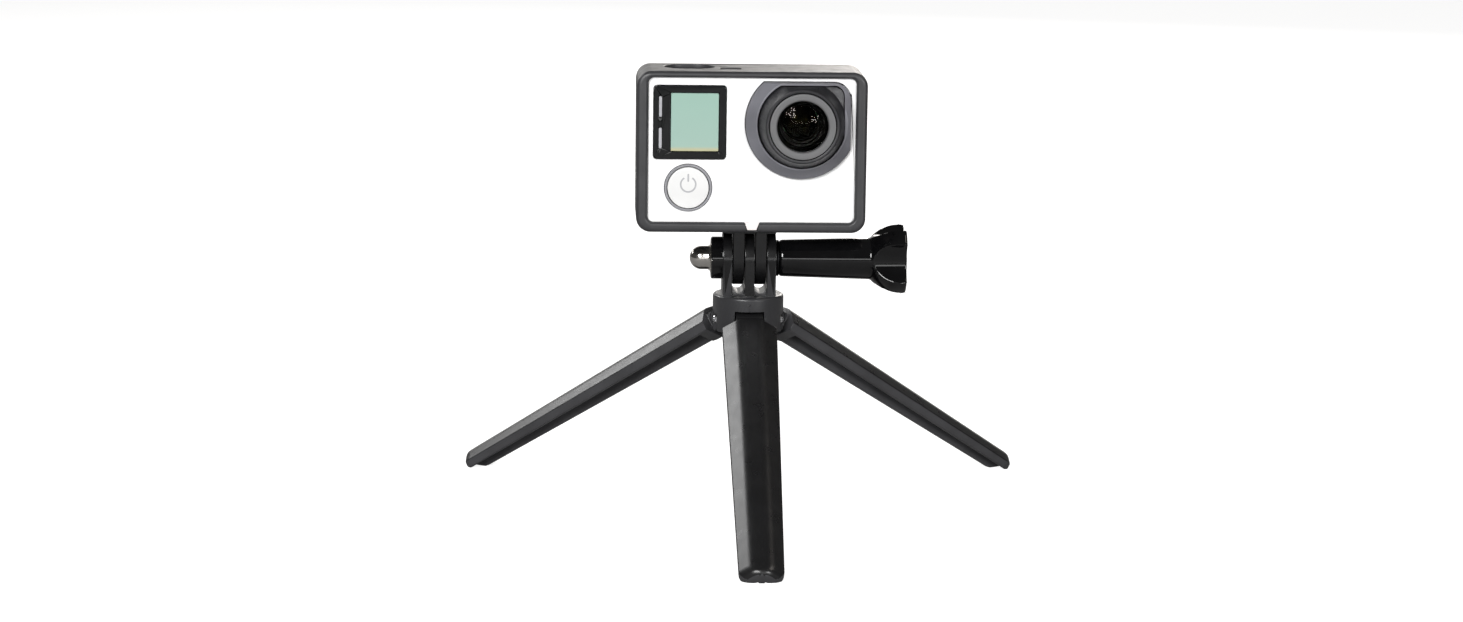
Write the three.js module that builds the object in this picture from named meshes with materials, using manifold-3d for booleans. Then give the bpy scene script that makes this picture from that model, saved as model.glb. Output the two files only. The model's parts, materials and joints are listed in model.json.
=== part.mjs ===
// Action camera held in a clip-on frame, clamped by a thumb screw to a folding three-legged stand.
// Millimetres, +Z up, the lens looks along -Y and the thumb knob lies on +X.
// Every piece is a closed solid of its own; the legs are modelled folded and then swung open about their pins.
import * as THREE from "three";
import { mergeVertices } from "three/addons/utils/BufferGeometryUtils.js";
import Module from "manifold-3d";

const wasm = await Module();
wasm.setup();

// ---------------------------------------------------------------- driving dimensions

const FIT = 0.3; // gap between neighbouring pieces
const ROUND = 32; // sides of an ordinary round

// Folding stand: legs hang on pins in a round head and swing out to stand.
const LEG = {
  open: THREE.MathUtils.degToRad(59), // swing from folded to standing
  pinRadius: 1,
  pinHalf: 6.4, // half the length of a hinge pin
  pinOut: 7, // hinge pin's distance from the stand's axis
  pinHeight: 52.5,
  length: 99,
  knuckle: 3, // radius of the lug round the pin
  lugHalf: 3.7, // half the width of the lug
  shoulder: 3.4, // the shell starts this far below the pin
};
const HEAD = {
  radius: 9.9,
  top: 59.7,
  bottom: 49.5,
  slotHalf: 4.05, // half the width of a leg's slot
  slotTop: 55.8,
  core: 3.6, // from the axis to the inner end of each slot
};

// Interlocking prongs on a common axis: three on the head, two on the frame.
const HINGE = {
  height: 69.6,
  prong: 7.4, // radius of a prong's round end
  middleHalf: 1.3,
  frameFrom: 1.55,
  frameTo: 4.6,
  outerFrom: 4.85,
  outerTo: 7.35,
  bore: 2.75,
};
const CLAMP = {
  screw: 2.45, // M5 screw
  screwEnd: -12.5,
  bossRadius: 5.9,
  bossEnd: -10.6,
  nutFlats: 8,
  domeRadius: 3.3,
  domeEnd: -16.5,
  washer: [7.65, 8.35],
  washerRadius: 5.05,
  knobStart: 8.45,
  knobNeck: 33.8,
  knobEnd: 43.7,
  neckRadius: [5.05, 5.85],
  lobeRadius: 10.4,
  scoopRadius: 7.2, // each of the four finger scoops is part of a cylinder
  scoopOut: 13.6,
};

// Clip-on frame round the camera.
const FRAME = {
  width: 63.4,
  bottom: 78.1,
  top: 122.7,
  front: -9.8,
  back: 12.2,
  innerHalf: 29.8,
  innerBottom: 79.5,
  innerTop: 121.4,
  lip: 1.3, // thickness of the front lip
  lipHalf: 28.5,
  lipBottom: 81,
  lipTop: 120.9,
  corner: 4,
};

// Camera body.
const CAM = {
  half: 29.5,
  bottom: 79.8,
  top: 121.1,
  face: -8.3, // front plane of the cover
  coverBack: -6.8,
  caseFront: -6.5,
  back: 12.2,
  wall: 1.5,
  cavityBack: 10.2,
  corner: 2.6,
};
const LENS = { x: 13.5, z: 108.5, outer: 15, flatTop: 11.3, flatSide: 13.3, corner: 4.8 };
const PANEL = { x: -17.1, z: 108.5, width: 19.8, height: 20.2 };
const LCD = { x: -15.75, z: 108.55, width: 13.4, height: 16.3 };
const MODE = { x: -17.4, z: 90.4, ring: 6.5, radius: 5.7 };
const SHUTTER = { x: -17, y: 3.5, radius: 5 };
const SETTINGS = { y: -2.6, z: 104, radius: 2.1 };
const PORTS = { y: 3, z: 105.5, depth: 10, height: 23 };
const LEVER = { y: [4, 10.6], z: [93, 114], pinZ: 95.2, pinX: 30.75, thick: 1.5 };

// ---------------------------------------------------------------- materials

const material = (color, roughness, metalness = 0) =>
  new THREE.MeshStandardMaterial({ color, roughness, metalness });
const MATTE_BLACK = material(0x2c2c2e, 0.5);
const GLOSS_BLACK = material(0x0c0c0d, 0.12);
const STAND_GREY = material(0x39393b, 0.42);
const FACE_WHITE = material(0xf2f2f2, 0.35);
const CASE_GREY = material(0x4a4b4f, 0.5);
const BEZEL_GREY = material(0x7f8087, 0.45);
const SHROUD_GREY = material(0x3b3c40, 0.5);
const RING_GREY = material(0x8c8c90, 0.4);
const LENS_GLASS = material(0x08080a, 0.05);
const PANEL_GLASS = material(0x17181b, 0.1);
const LCD_GREEN = material(0xa9c6b8, 0.3);
const LIGHT_PIPE = material(0xb9babd, 0.3);
const STEEL = material(0xd4d4d6, 0.25, 1);
const CHROME = material(0xe6e6e8, 0.08, 1);
const BOARD_GREEN = material(0x1d4a34, 0.6);
const BATTERY_GREY = material(0x6a6d72, 0.5);

// ---------------------------------------------------------------- building blocks

const X = new THREE.Vector3(1, 0, 0);
const Y = new THREE.Vector3(0, 1, 0);
const Z = new THREE.Vector3(0, 0, 1);

// A closed three.js geometry as a solid. A lathe drawn the other way round comes out turned inside out.
function solid(geometry) {
  const bare = geometry.clone();
  bare.deleteAttribute("normal");
  bare.deleteAttribute("uv");
  const merged = mergeVertices(bare, 1e-4);
  const triVerts = new Uint32Array(merged.index.array);
  const vertProperties = merged.attributes.position.array;
  const made = new wasm.Manifold(new wasm.Mesh({ numProp: 3, vertProperties, triVerts }));
  if (made.volume() > 0) return made;
  triVerts.reverse();
  return new wasm.Manifold(new wasm.Mesh({ numProp: 3, vertProperties, triVerts }));
}

function geometryOf(body) {
  const mesh = body.getMesh();
  const geometry = new THREE.BufferGeometry();
  geometry.setAttribute("position", new THREE.BufferAttribute(mesh.vertProperties, 3));
  geometry.setIndex(new THREE.BufferAttribute(mesh.triVerts, 1));
  geometry.computeVertexNormals();
  return geometry;
}

const join = (first, ...rest) => rest.reduce((all, one) => all.add(one), first);
const cut = (first, ...rest) => rest.reduce((all, one) => all.subtract(one), first);

function piece(name, body, look) {
  const mesh = new THREE.Mesh(geometryOf(body), look);
  mesh.name = name;
  return mesh;
}

function group(...members) {
  const made = new THREE.Group();
  made.add(...members);
  return made;
}

// A shape drawn across an axis, as a prism between two stations on that axis.
// Across x the shape lies in (y, z), across y in (x, z), and across z in (x, y).
function prism(axis, shape, from, to, curveSegments = 3) {
  const options = { depth: to - from, bevelEnabled: false, curveSegments };
  const geometry = new THREE.ExtrudeGeometry(shape, options);
  const matrix = new THREE.Matrix4();
  if (axis === "x") matrix.makeBasis(Y, Z, X).setPosition(from, 0, 0);
  if (axis === "y") matrix.makeBasis(X, Z, Y.clone().negate()).setPosition(0, to, 0);
  if (axis === "z") matrix.setPosition(0, 0, from);
  return solid(geometry.applyMatrix4(matrix));
}

function box(x, y, z) {
  const geometry = new THREE.BoxGeometry(x[1] - x[0], y[1] - y[0], z[1] - z[0]);
  geometry.translate((x[0] + x[1]) / 2, (y[0] + y[1]) / 2, (z[0] + z[1]) / 2);
  return solid(geometry);
}

// A body turned about an axis through the point `at`; the profile holds [radius, station] pairs.
function turned(axis, at, profile, sides = ROUND) {
  const points = profile.map(([r, station]) => new THREE.Vector2(r, station));
  const geometry = new THREE.LatheGeometry(points, sides);
  if (axis === "x") geometry.rotateZ(-Math.PI / 2);
  if (axis === "z") geometry.rotateX(Math.PI / 2);
  return solid(geometry.translate(...at));
}

function rod(axis, at, radius, from, to, sides = ROUND) {
  const profile = [
    [0, from],
    [radius, from],
    [radius, to],
    [0, to],
  ];
  return turned(axis, at, profile, sides);
}

function tube(axis, at, outer, inner, from, to, sides = ROUND) {
  const profile = [
    [inner, from],
    [outer, from],
    [outer, to],
    [inner, to],
    [inner, from],
  ];
  return turned(axis, at, profile, sides);
}

function roundedRect(x, y, width, height, radius) {
  const [w, h] = [width / 2 - radius, height / 2 - radius];
  const shape = new THREE.Shape();
  shape.absarc(x + w, y - h, radius, -Math.PI / 2, 0);
  shape.absarc(x + w, y + h, radius, 0, Math.PI / 2);
  shape.absarc(x - w, y + h, radius, Math.PI / 2, Math.PI);
  shape.absarc(x - w, y - h, radius, Math.PI, 1.5 * Math.PI);
  return shape;
}

const spanRect = (x, y, radius) =>
  roundedRect((x[0] + x[1]) / 2, (y[0] + y[1]) / 2, x[1] - x[0], y[1] - y[0], radius);

const polygon = (points) => new THREE.Shape(points.map(([x, y]) => new THREE.Vector2(x, y)));

// Two outlines with the same number of points, joined by straight faces between two heights.
function loft(lower, upper, z0, z1) {
  const count = lower.length;
  const ring = (outline, z) => outline.flatMap(([x, y]) => [x, y, z]);
  const geometry = new THREE.BufferGeometry();
  const positions = new Float32Array([...ring(lower, z0), ...ring(upper, z1)]);
  geometry.setAttribute("position", new THREE.BufferAttribute(positions, 3));
  const flat = lower.map(([x, y]) => new THREE.Vector2(x, y));
  const caps = THREE.ShapeUtils.triangulateShape(flat, []);
  const index = [];
  for (const [a, b, c] of caps) index.push(a, c, b, a + count, b + count, c + count);
  for (let i = 0; i < count; i++) {
    const next = (i + 1) % count;
    index.push(i, next, next + count, i, next + count, i + count);
  }
  geometry.setIndex(index);
  return solid(geometry);
}

// ---------------------------------------------------------------- stand

// A leg's section as [across, outward] pairs, outward counted from the stand's axis when the leg is folded:
// a three-sided shell over a central web, drawn anticlockwise.
function legSection({ crown, ridge, corner, wall, rim, web, tip }) {
  const half = [
    [web[0], tip],
    [web[0], web[1]],
    rim,
    wall,
    corner,
    [ridge, crown],
  ];
  const mirror = half.map(([across, out]) => [-across, out]).reverse();
  return [...half, ...mirror];
}

const SECTION_TOP = {
  crown: 11.5,
  ridge: 3,
  corner: [7.75, 8],
  wall: [7.6, 5.5],
  rim: [6.4, 5.2],
  web: [1.6, 10],
  tip: 2.8,
};
const SECTION_FOOT = {
  crown: 8.7,
  ridge: 2.4,
  corner: [5.95, 6],
  wall: [5.8, 3.9],
  rim: [4.7, 3.7],
  web: [1.3, 7.4],
  tip: 2.4,
};

// One leg, hanging folded below its pin: local origin on the pin, -Z down the leg, -Y outward.
function leg(name, azimuth) {
  const inward = (out) => LEG.pinOut - out;
  const local = (section) => legSection(section).map(([across, out]) => [across, inward(out)]).reverse();
  const body = loft(local(SECTION_FOOT), local(SECTION_TOP), -LEG.length, 0);
  const aboveShell = box([-12, 12], [-8, 8], [-LEG.shoulder, 8]);
  const half = [
    [1.4, inward(2.3)],
    [SECTION_TOP.wall[0] - 0.15, inward(SECTION_TOP.wall[1])],
    [SECTION_TOP.wall[0] - 0.15, inward(SECTION_TOP.corner[1] - 0.3)],
    [SECTION_TOP.ridge, inward(SECTION_TOP.crown - 0.8)],
  ];
  const wedge = polygon([...half.map(([across, y]) => [-across, y]), ...half.reverse()]);
  const endWall = prism("z", wedge, -6.6, -LEG.shoulder);
  const lug = rod("x", [0, 0, 0], LEG.knuckle, -LEG.lugHalf, LEG.lugHalf, 24);
  const neck = box([-LEG.lugHalf, LEG.lugHalf], [-2.7, LEG.knuckle], [-6, 0]);
  const innerTop = box([-10, 10], [LEG.knuckle - 0.4, 8], [-LEG.shoulder, 8]);
  const bore = rod("x", [0, 0, 0], LEG.pinRadius + 0.15, -10, 10, 20);
  const ground = new THREE.BoxGeometry(40, 400, 20).translate(0, 0, -LEG.pinHeight - 10);
  ground.rotateX(LEG.open);
  const nose = footRounding();
  const shell = cut(body, aboveShell);
  const made = cut(join(shell, endWall, cut(join(lug, neck), innerTop)), bore, solid(ground), nose);
  const swing = group(piece(name, made, STAND_GREY));
  swing.position.set(0, -LEG.pinOut, LEG.pinHeight);
  swing.rotation.x = -LEG.open;
  const placed = group(swing);
  placed.rotation.z = azimuth;
  return placed;
}

// What is taken off a leg's end so that its foot is rounded in plan and over its crown.
function footRounding() {
  const corner = 3;
  const half = SECTION_FOOT.corner[0] + 0.4;
  const plan = new THREE.Shape();
  plan.moveTo(-half, corner + 1);
  plan.absarc(-half + corner, corner, corner, Math.PI, 1.5 * Math.PI);
  plan.absarc(half - corner, corner, corner, 1.5 * Math.PI, 2 * Math.PI);
  plan.lineTo(half, corner + 1);
  const block = box([-12, 12], [-10, 10], [-LEG.length - 1, -LEG.length + corner]);
  const keep = prism("y", plan, -12, 12).translate([0, 0, -LEG.length]);
  const crown = LEG.pinOut - SECTION_FOOT.crown;
  const bevel = polygon([[-6, 0], [crown + 2.2, 0], [crown - 0.2, 2.4], [-6, 8]]);
  return join(cut(block, keep), prism("x", bevel, -12, 12).translate([0, 0, -LEG.length]));
}

function hingePin(name, azimuth) {
  const body = rod("x", [0, -LEG.pinOut, LEG.pinHeight], LEG.pinRadius, -LEG.pinHalf, LEG.pinHalf, 20);
  const placed = group(piece(name, body, STEEL));
  placed.rotation.z = azimuth;
  return placed;
}

// Side outline of a prong in (y, z): a round end on a foot as wide as `foot`.
function prongShape(end, foot) {
  const up = foot > HINGE.height;
  const start = up ? Math.PI : 0;
  const shape = new THREE.Shape();
  shape.absarc(0, HINGE.height, HINGE.prong, start, start + Math.PI);
  shape.lineTo(up ? end : -end, foot);
  shape.lineTo(up ? -end : end, foot);
  return shape;
}

function tripodHead() {
  const collar = turned("z", [0, 0, 0], [
    [0, HEAD.bottom],
    [HEAD.radius, HEAD.bottom],
    [HEAD.radius, HEAD.top - 0.8],
    [HEAD.radius - 0.8, HEAD.top],
    [0, HEAD.top],
  ], 48);
  const cuts = [0, 1, 2].flatMap((i) => {
    const turn = (body) => body.rotate([0, 0, i * 120]);
    const slot = box([-HEAD.slotHalf, HEAD.slotHalf], [-12, -HEAD.core], [HEAD.bottom - 1, HEAD.slotTop]);
    const flare = polygon([
      [-HEAD.slotHalf, HEAD.slotTop],
      [-7.2, HEAD.bottom - 0.5],
      [7.2, HEAD.bottom - 0.5],
      [HEAD.slotHalf, HEAD.slotTop],
    ]);
    const mouth = prism("y", flare, -12, -HEAD.radius + 1.4);
    const holes = rod("x", [0, -LEG.pinOut, LEG.pinHeight], LEG.pinRadius + 0.1, -12, 12, 20);
    const spot = (side) => {
      const span = [6.1, 12].map((x) => x * side).sort((a, b) => a - b);
      const round = rod("x", [0, -LEG.pinOut, LEG.pinHeight], 1.5, span[0], span[1], 20);
      const run = [-LEG.pinOut - 1.5, -LEG.pinOut + 1.5];
      return join(round, box(span, run, [HEAD.bottom - 1, LEG.pinHeight]));
    };
    return [slot, mouth, holes, spot(-1), spot(1)].map(turn);
  });
  const prongs = [
    [-HINGE.outerTo, -HINGE.outerFrom, 6.1],
    [-HINGE.middleHalf, HINGE.middleHalf, 7.4],
    [HINGE.outerFrom, HINGE.outerTo, 6.1],
  ].map(([from, to, end]) => prism("x", prongShape(end, HEAD.top - 0.5), from, to, 8));
  const gussets = [-HINGE.outerFrom, -HINGE.middleHalf, HINGE.middleHalf, HINGE.outerFrom].map((x, i) => {
    const side = [1, -1, 1, -1][i];
    const web = polygon([[x - side, HEAD.top - 0.5], [x + side * 1.2, HEAD.top - 0.5], [x - side, HEAD.top + 3.2]]);
    return prism("y", web, -5, 5);
  });
  const boss = rod("x", [0, 0, HINGE.height], CLAMP.bossRadius, CLAMP.bossEnd, -HINGE.outerTo + 0.5);
  const pocket = hexagon(CLAMP.nutFlats + 0.4, CLAMP.bossEnd - 1, -HINGE.outerTo - 0.1);
  const bore = rod("x", [0, 0, HINGE.height], HINGE.bore, -20, 20, 24);
  const body = join(cut(collar, ...cuts), ...prongs, ...gussets, boss);
  return piece("tripod_head", cut(body, pocket, bore), STAND_GREY);
}

// A hexagonal bar along the hinge axis.
function hexagon(flats, from, to) {
  return rod("x", [0, 0, HINGE.height], flats / Math.sqrt(3), from, to, 6);
}

function capNut() {
  const [inside, dome] = [CLAMP.domeRadius, CLAMP.domeEnd + CLAMP.domeRadius];
  const arc = [0, 1, 2, 3, 4].map((i) => {
    const angle = (i * Math.PI) / 8;
    return [inside * Math.sin(angle), dome - inside * Math.cos(angle)];
  });
  const cap = turned("x", [0, 0, HINGE.height], [...arc, [inside, CLAMP.bossEnd], [0, CLAMP.bossEnd]], 28);
  const nut = hexagon(CLAMP.nutFlats, CLAMP.bossEnd - 0.2, -HINGE.outerTo - 0.4);
  const bore = rod("x", [0, 0, HINGE.height], HINGE.bore, CLAMP.screwEnd - 1, 0, 24);
  return piece("cap_nut", cut(join(cap, nut), bore), CHROME);
}

// ---------------------------------------------------------------- thumb screw

function thumbKnob() {
  const flare = [0, 0.2, 0.4, 0.6, 0.8, 1].map((t) => {
    const rise = 1 - (1 - t) ** 2.2;
    const r = CLAMP.neckRadius[1] + (CLAMP.lobeRadius - CLAMP.neckRadius[1]) * rise;
    return [r, CLAMP.knobNeck + t * (CLAMP.knobEnd - 0.6 - CLAMP.knobNeck)];
  });
  const profile = [
    [0, CLAMP.knobStart],
    [CLAMP.neckRadius[0] - 0.4, CLAMP.knobStart],
    [CLAMP.neckRadius[0], CLAMP.knobStart + 0.4],
    ...flare,
    [CLAMP.lobeRadius - 0.6, CLAMP.knobEnd],
    [0, CLAMP.knobEnd],
  ];
  const body = turned("x", [0, 0, HINGE.height], profile, 40);
  const scoops = [[1, 0], [-1, 0], [0, 1], [0, -1]].map(([y, z]) =>
    rod("x", [0, y * CLAMP.scoopOut, HINGE.height + z * CLAMP.scoopOut], CLAMP.scoopRadius,
      CLAMP.knobNeck - 2, CLAMP.knobEnd + 2, 40));
  const socket = rod("x", [0, 0, HINGE.height], CLAMP.screw + FIT, CLAMP.knobStart - 1, 22 + FIT, 24);
  return piece("thumb_knob", cut(body, ...scoops, socket), GLOSS_BLACK);
}

function clampScrew() {
  const tip = 0.8;
  const profile = [
    [0, CLAMP.screwEnd],
    [CLAMP.screw - tip, CLAMP.screwEnd],
    [CLAMP.screw, CLAMP.screwEnd + tip],
    [CLAMP.screw, 22],
    [0, 22],
  ];
  return piece("clamp_screw", turned("x", [0, 0, HINGE.height], profile, 24), STEEL);
}

function clampWasher() {
  const body = tube("x", [0, 0, HINGE.height], CLAMP.washerRadius, HINGE.bore, ...CLAMP.washer, 28);
  return piece("clamp_washer", body, STEEL);
}

// ---------------------------------------------------------------- frame

function mountFrame() {
  const outline = spanRect([-FRAME.width / 2, FRAME.width / 2], [FRAME.bottom, FRAME.top], FRAME.corner);
  const inner = spanRect([-FRAME.innerHalf, FRAME.innerHalf], [FRAME.innerBottom, FRAME.innerTop], 2.8);
  const window = spanRect([-FRAME.lipHalf, FRAME.lipHalf], [FRAME.lipBottom, FRAME.lipTop], 1.6);
  const band = prism("y", outline, FRAME.front, FRAME.back);
  const camera = prism("y", inner, FRAME.front + FRAME.lip, FRAME.back + 1);
  const opening = prism("y", window, FRAME.front - 1, FRAME.front + FRAME.lip + 1);
  const shutterHole = roundedRect(SHUTTER.x, SHUTTER.y, 14, 11.4, 5.6);
  const shutter = prism("z", shutterHole, FRAME.innerTop - 2, FRAME.top + 1);
  const lightSlot = prism("z", roundedRect(-5.7, -1.3, 5.8, 4.6, 1), FRAME.innerTop - 2, FRAME.top + 1);
  const portWindow = roundedRect(PORTS.y, PORTS.z, PORTS.depth + 4, PORTS.height + 5, 2.5);
  const ports = prism("x", portWindow, -FRAME.width, -FRAME.innerHalf + 1);
  const finger = rod("x", [0, SETTINGS.y, SETTINGS.z], 3.8, FRAME.innerHalf - 1, FRAME.width, 28);
  const leverBay = box([FRAME.innerHalf - 1, FRAME.width], [LEVER.y[0] - FIT, LEVER.y[1] + FIT],
    [LEVER.z[0] - FIT, LEVER.z[1] + FIT]);
  const fingerNail = rod("x", [0, (LEVER.y[0] + LEVER.y[1]) / 2, LEVER.z[1] + 1], 2.6, 30.9, FRAME.width, 24);
  const pinHole = rod("y", [LEVER.pinX, 0, LEVER.pinZ], 0.6, LEVER.y[0] - 1.5, FRAME.back + 1, 16);
  const notchShape = polygon([
    [-2, FRAME.lipBottom + 1],
    [-1.1, FRAME.bottom + 0.5],
    [1.7, FRAME.bottom + 0.5],
    [2.6, FRAME.lipBottom + 1],
  ]);
  const notch = prism("y", notchShape, FRAME.front - 1, FRAME.front + 1.4);
  const pad = box([-7.3, 7.3], [-7, 7], [FRAME.bottom - 0.7, FRAME.bottom + 0.5]);
  const prongs = [-1, 1].map((side) => {
    const span = [HINGE.frameFrom, HINGE.frameTo].map((x) => x * side).sort((a, b) => a - b);
    return prism("x", prongShape(HINGE.prong, FRAME.bottom + 0.5), ...span, 8);
  });
  const bore = rod("x", [0, 0, HINGE.height], HINGE.bore, -20, 20, 24);
  const hollow = cut(band, camera, opening, shutter, lightSlot, ports, finger, leverBay, fingerNail, pinHole, notch);
  return piece("mount_frame", cut(join(hollow, pad, ...prongs), bore), MATTE_BLACK);
}

// Cam lever in the frame's side wall: swung out it lets go of the camera, closed it lies flush.
function clampLever() {
  const [x0, x1] = [FRAME.width / 2 - LEVER.thick, FRAME.width / 2 - 0.1];
  const plate = box([x0, x1], LEVER.y, [LEVER.pinZ, LEVER.z[1]]);
  const hub = rod("y", [LEVER.pinX, 0, LEVER.pinZ], 0.95, ...LEVER.y, 20);
  const grip = rod("x", [0, (LEVER.y[0] + LEVER.y[1]) / 2, LEVER.z[1] + 1], 2.6, x0 + 0.7, x1 + 1, 24);
  const bore = rod("y", [LEVER.pinX, 0, LEVER.pinZ], 0.55, LEVER.y[0] - 1, LEVER.y[1] + 1, 16);
  return piece("frame_lever", cut(join(plate, hub), grip, bore), GLOSS_BLACK);
}

function leverPin() {
  const body = rod("y", [LEVER.pinX, 0, LEVER.pinZ], 0.45, LEVER.y[0] - 1.2, FRAME.back - 0.2, 16);
  return piece("lever_pin", body, STEEL);
}

// ---------------------------------------------------------------- camera shell

// The lens surround's outline: a circle cut flat on top and on one side, with a rounded corner between.
function lensOutline(radius, top, side, corner) {
  const [x, z] = [LENS.x, LENS.z];
  const shape = new THREE.Shape();
  shape.moveTo(x + side, z - Math.sqrt(radius ** 2 - side ** 2));
  shape.absarc(x + side - corner, z + top - corner, corner, 0, Math.PI / 2);
  shape.absarc(x, z, radius, Math.PI - Math.asin(top / radius), 2 * Math.PI - Math.acos(side / radius));
  return shape;
}

const caseOutline = (inset, radius) =>
  spanRect([-CAM.half + inset, CAM.half - inset], [CAM.bottom + inset, CAM.top - inset], radius);
const panelOutline = (gap, radius) =>
  roundedRect(PANEL.x, PANEL.z, PANEL.width + 2 * gap, PANEL.height + 2 * gap, radius);

function frontCover() {
  const plate = prism("y", caseOutline(0, CAM.corner), CAM.face, CAM.coverBack);
  const through = [CAM.face - 1, CAM.coverBack + 1];
  const gap = 0.25;
  const lens = lensOutline(LENS.outer + gap, LENS.flatTop + gap, LENS.flatSide + gap, LENS.corner);
  return piece("front_cover", cut(
    plate,
    prism("y", lens, ...through, 12),
    prism("y", panelOutline(gap, 1.1), ...through),
    rod("y", [MODE.x, 0, MODE.z], MODE.ring + 0.2, ...through, 40),
  ), FACE_WHITE);
}

const BOSSES = [[-26.4, 82.9], [26.4, 82.9], [-26.4, 118], [26.4, 118]];
const BAY = { x: [-24.3, 5], y: [-1.8, 7.8] }; // battery opening in the floor
const SCREEN = { x: -2, z: 100.7, width: 45, height: 31 };

function rearCase() {
  const outer = prism("y", caseOutline(0, CAM.corner), CAM.caseFront, CAM.back);
  const cavity = prism("y", caseOutline(CAM.wall, 1.2), CAM.caseFront - 1, CAM.cavityBack);
  const posts = BOSSES.map(([x, z]) => rod("y", [x, 0, z], 1.9, CAM.caseFront + 2, CAM.cavityBack + 0.5, 16));
  const screws = BOSSES.map(([x, z]) => rod("y", [x, 0, z], 0.9, CAM.caseFront, 3, 12));
  const screen = prism("y", roundedRect(SCREEN.x, SCREEN.z, SCREEN.width, SCREEN.height, 2), CAM.back - 1.2, CAM.back + 1);
  const button = rod("z", [SHUTTER.x, SHUTTER.y, 0], SHUTTER.radius + FIT, CAM.top - 3, CAM.top + 1, 36);
  const ports = prism("x", roundedRect(PORTS.y, PORTS.z, PORTS.depth, PORTS.height, 1.5), -CAM.half - 1, -CAM.half + 3);
  const settings = rod("x", [0, SETTINGS.y, SETTINGS.z], SETTINGS.radius + FIT, CAM.half - 3, CAM.half + 1, 24);
  const bay = box(BAY.x, BAY.y, [CAM.bottom - 1, CAM.bottom + 3]);
  const shell = join(cut(outer, cavity), ...posts);
  return piece("rear_case", cut(shell, ...screws, screen, button, ports, settings, bay), CASE_GREY);
}

function rearScreen() {
  const outline = roundedRect(SCREEN.x, SCREEN.z, SCREEN.width - 0.5, SCREEN.height - 0.5, 1.8);
  return piece("rear_screen", prism("y", outline, CAM.back - 0.95, CAM.back - 0.05), PANEL_GLASS);
}

function batteryDoor() {
  const [x, y] = [BAY.x, BAY.y].map(([from, to]) => [from + FIT, to - FIT]);
  const plate = box(x, y, [CAM.bottom + 0.05, CAM.bottom + CAM.wall]);
  const nail = box([x[1] - 6, x[1] - 1.5], [1.5, 4.5], [CAM.bottom - 0.5, CAM.bottom + 0.6]);
  return piece("battery_door", cut(plate, nail), CASE_GREY);
}

function caseScrews() {
  return BOSSES.map(([x, z], i) => {
    const profile = [[0, -6.3], [1.5, -6.3], [1.5, -5.3], [0.75, -4.3], [0.75, 1.5], [0, 1.5]];
    return piece(`case_screw_${i + 1}`, turned("y", [x, 0, z], profile, 12), STEEL);
  });
}

function portDoor() {
  const outline = roundedRect(PORTS.y, PORTS.z, PORTS.depth - 0.5, PORTS.height - 0.5, 1.3);
  const plate = prism("x", outline, -CAM.half - 0.05, -CAM.half + 1.3);
  const nail = rod("z", [-CAM.half - 0.6, PORTS.y + 3.1, 0], 1, PORTS.z - 4, PORTS.z + 4, 16);
  return piece("port_door", cut(plate, nail), CASE_GREY);
}

// ---------------------------------------------------------------- lens

const lensAt = [LENS.x, 0, LENS.z];
const CONE = { step: 1, shoulder: 3.6, shoulderRadius: 12.5, neck: 8.4, neckRadius: 9.9 };

// Stations in front of the cover's face, as y.
const ahead = (distance) => CAM.face - distance;

function lensBezel() {
  const outline = lensOutline(LENS.outer + 1, LENS.flatTop, LENS.flatSide, LENS.corner);
  const block = prism("y", outline, ahead(CONE.shoulder), CAM.coverBack + 0.1, 12);
  const cone = turned("y", lensAt, [
    [0, ahead(CONE.shoulder)],
    [CONE.shoulderRadius, ahead(CONE.shoulder)],
    [LENS.outer, ahead(CONE.step)],
    [LENS.outer, 0],
    [0, 0],
  ], 64);
  const bore = prism("y", lensOutline(12.2, 10.7, 11.7, 3), ahead(8), CAM.coverBack + 1, 12);
  return piece("lens_bezel", cut(block.intersect(cone), bore), BEZEL_GREY);
}

function lensShroud() {
  const outline = lensOutline(12.8, 10.45, 11.45, 2.75);
  const block = prism("y", outline, ahead(CONE.neck), CAM.coverBack, 12);
  const cone = turned("y", lensAt, [
    [0, ahead(CONE.neck)],
    [CONE.neckRadius, ahead(CONE.neck)],
    [11.95, ahead(CONE.shoulder - 0.6)],
    [11.95, 0],
    [0, 0],
  ], 64);
  const bore = rod("y", lensAt, 9.3, ahead(12), 0, 48);
  return piece("lens_shroud", cut(block.intersect(cone), bore), SHROUD_GREY);
}

function lensRing() {
  const profile = [
    [7.1, ahead(6)],
    [9.05, ahead(6)],
    [9.05, ahead(8.6)],
    [8.65, ahead(9)],
    [7.4, ahead(9)],
    [7.1, ahead(8.4)],
    [7.1, ahead(6)],
  ];
  return piece("lens_ring", turned("y", lensAt, profile, 48), RING_GREY);
}

function frontLens() {
  const dome = [0, 1, 2, 3, 4].map((i) => {
    const angle = (i / 4) * Math.asin(6.8 / 16);
    return [16 * Math.sin(angle), ahead(8.6) + 16 * (1 - Math.cos(angle))];
  });
  return piece("front_lens", turned("y", lensAt, [...dome, [6.8, ahead(5.6)], [0, ahead(5.6)]], 40), LENS_GLASS);
}

function lensBarrel() {
  const body = join(
    tube("y", lensAt, 8.9, 7.4, ahead(5.3), 0.5, 40),
    tube("y", lensAt, 7.6, 6.7, -4.2, 0.5, 40),
  );
  return piece("lens_barrel", body, MATTE_BLACK);
}

function rearLens() {
  return piece("rear_lens", rod("y", lensAt, 5.3, -3.4, -1.4, 32), LENS_GLASS);
}

function imageSensor() {
  const board = box([LENS.x - 8.5, LENS.x + 8.5], [1.3, 2.5], [LENS.z - 8.5, LENS.z + 8.5]);
  const chip = box([LENS.x - 4.5, LENS.x + 4.5], [0.3, 1.5], [LENS.z - 3.5, LENS.z + 3.5]);
  return piece("image_sensor", join(board, chip), BOARD_GREEN);
}

// ---------------------------------------------------------------- controls and insides

const LIGHTS = [["upper_light", 112.8], ["lower_light", 104.1]];
const LIGHT_X = -25.2;

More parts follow.
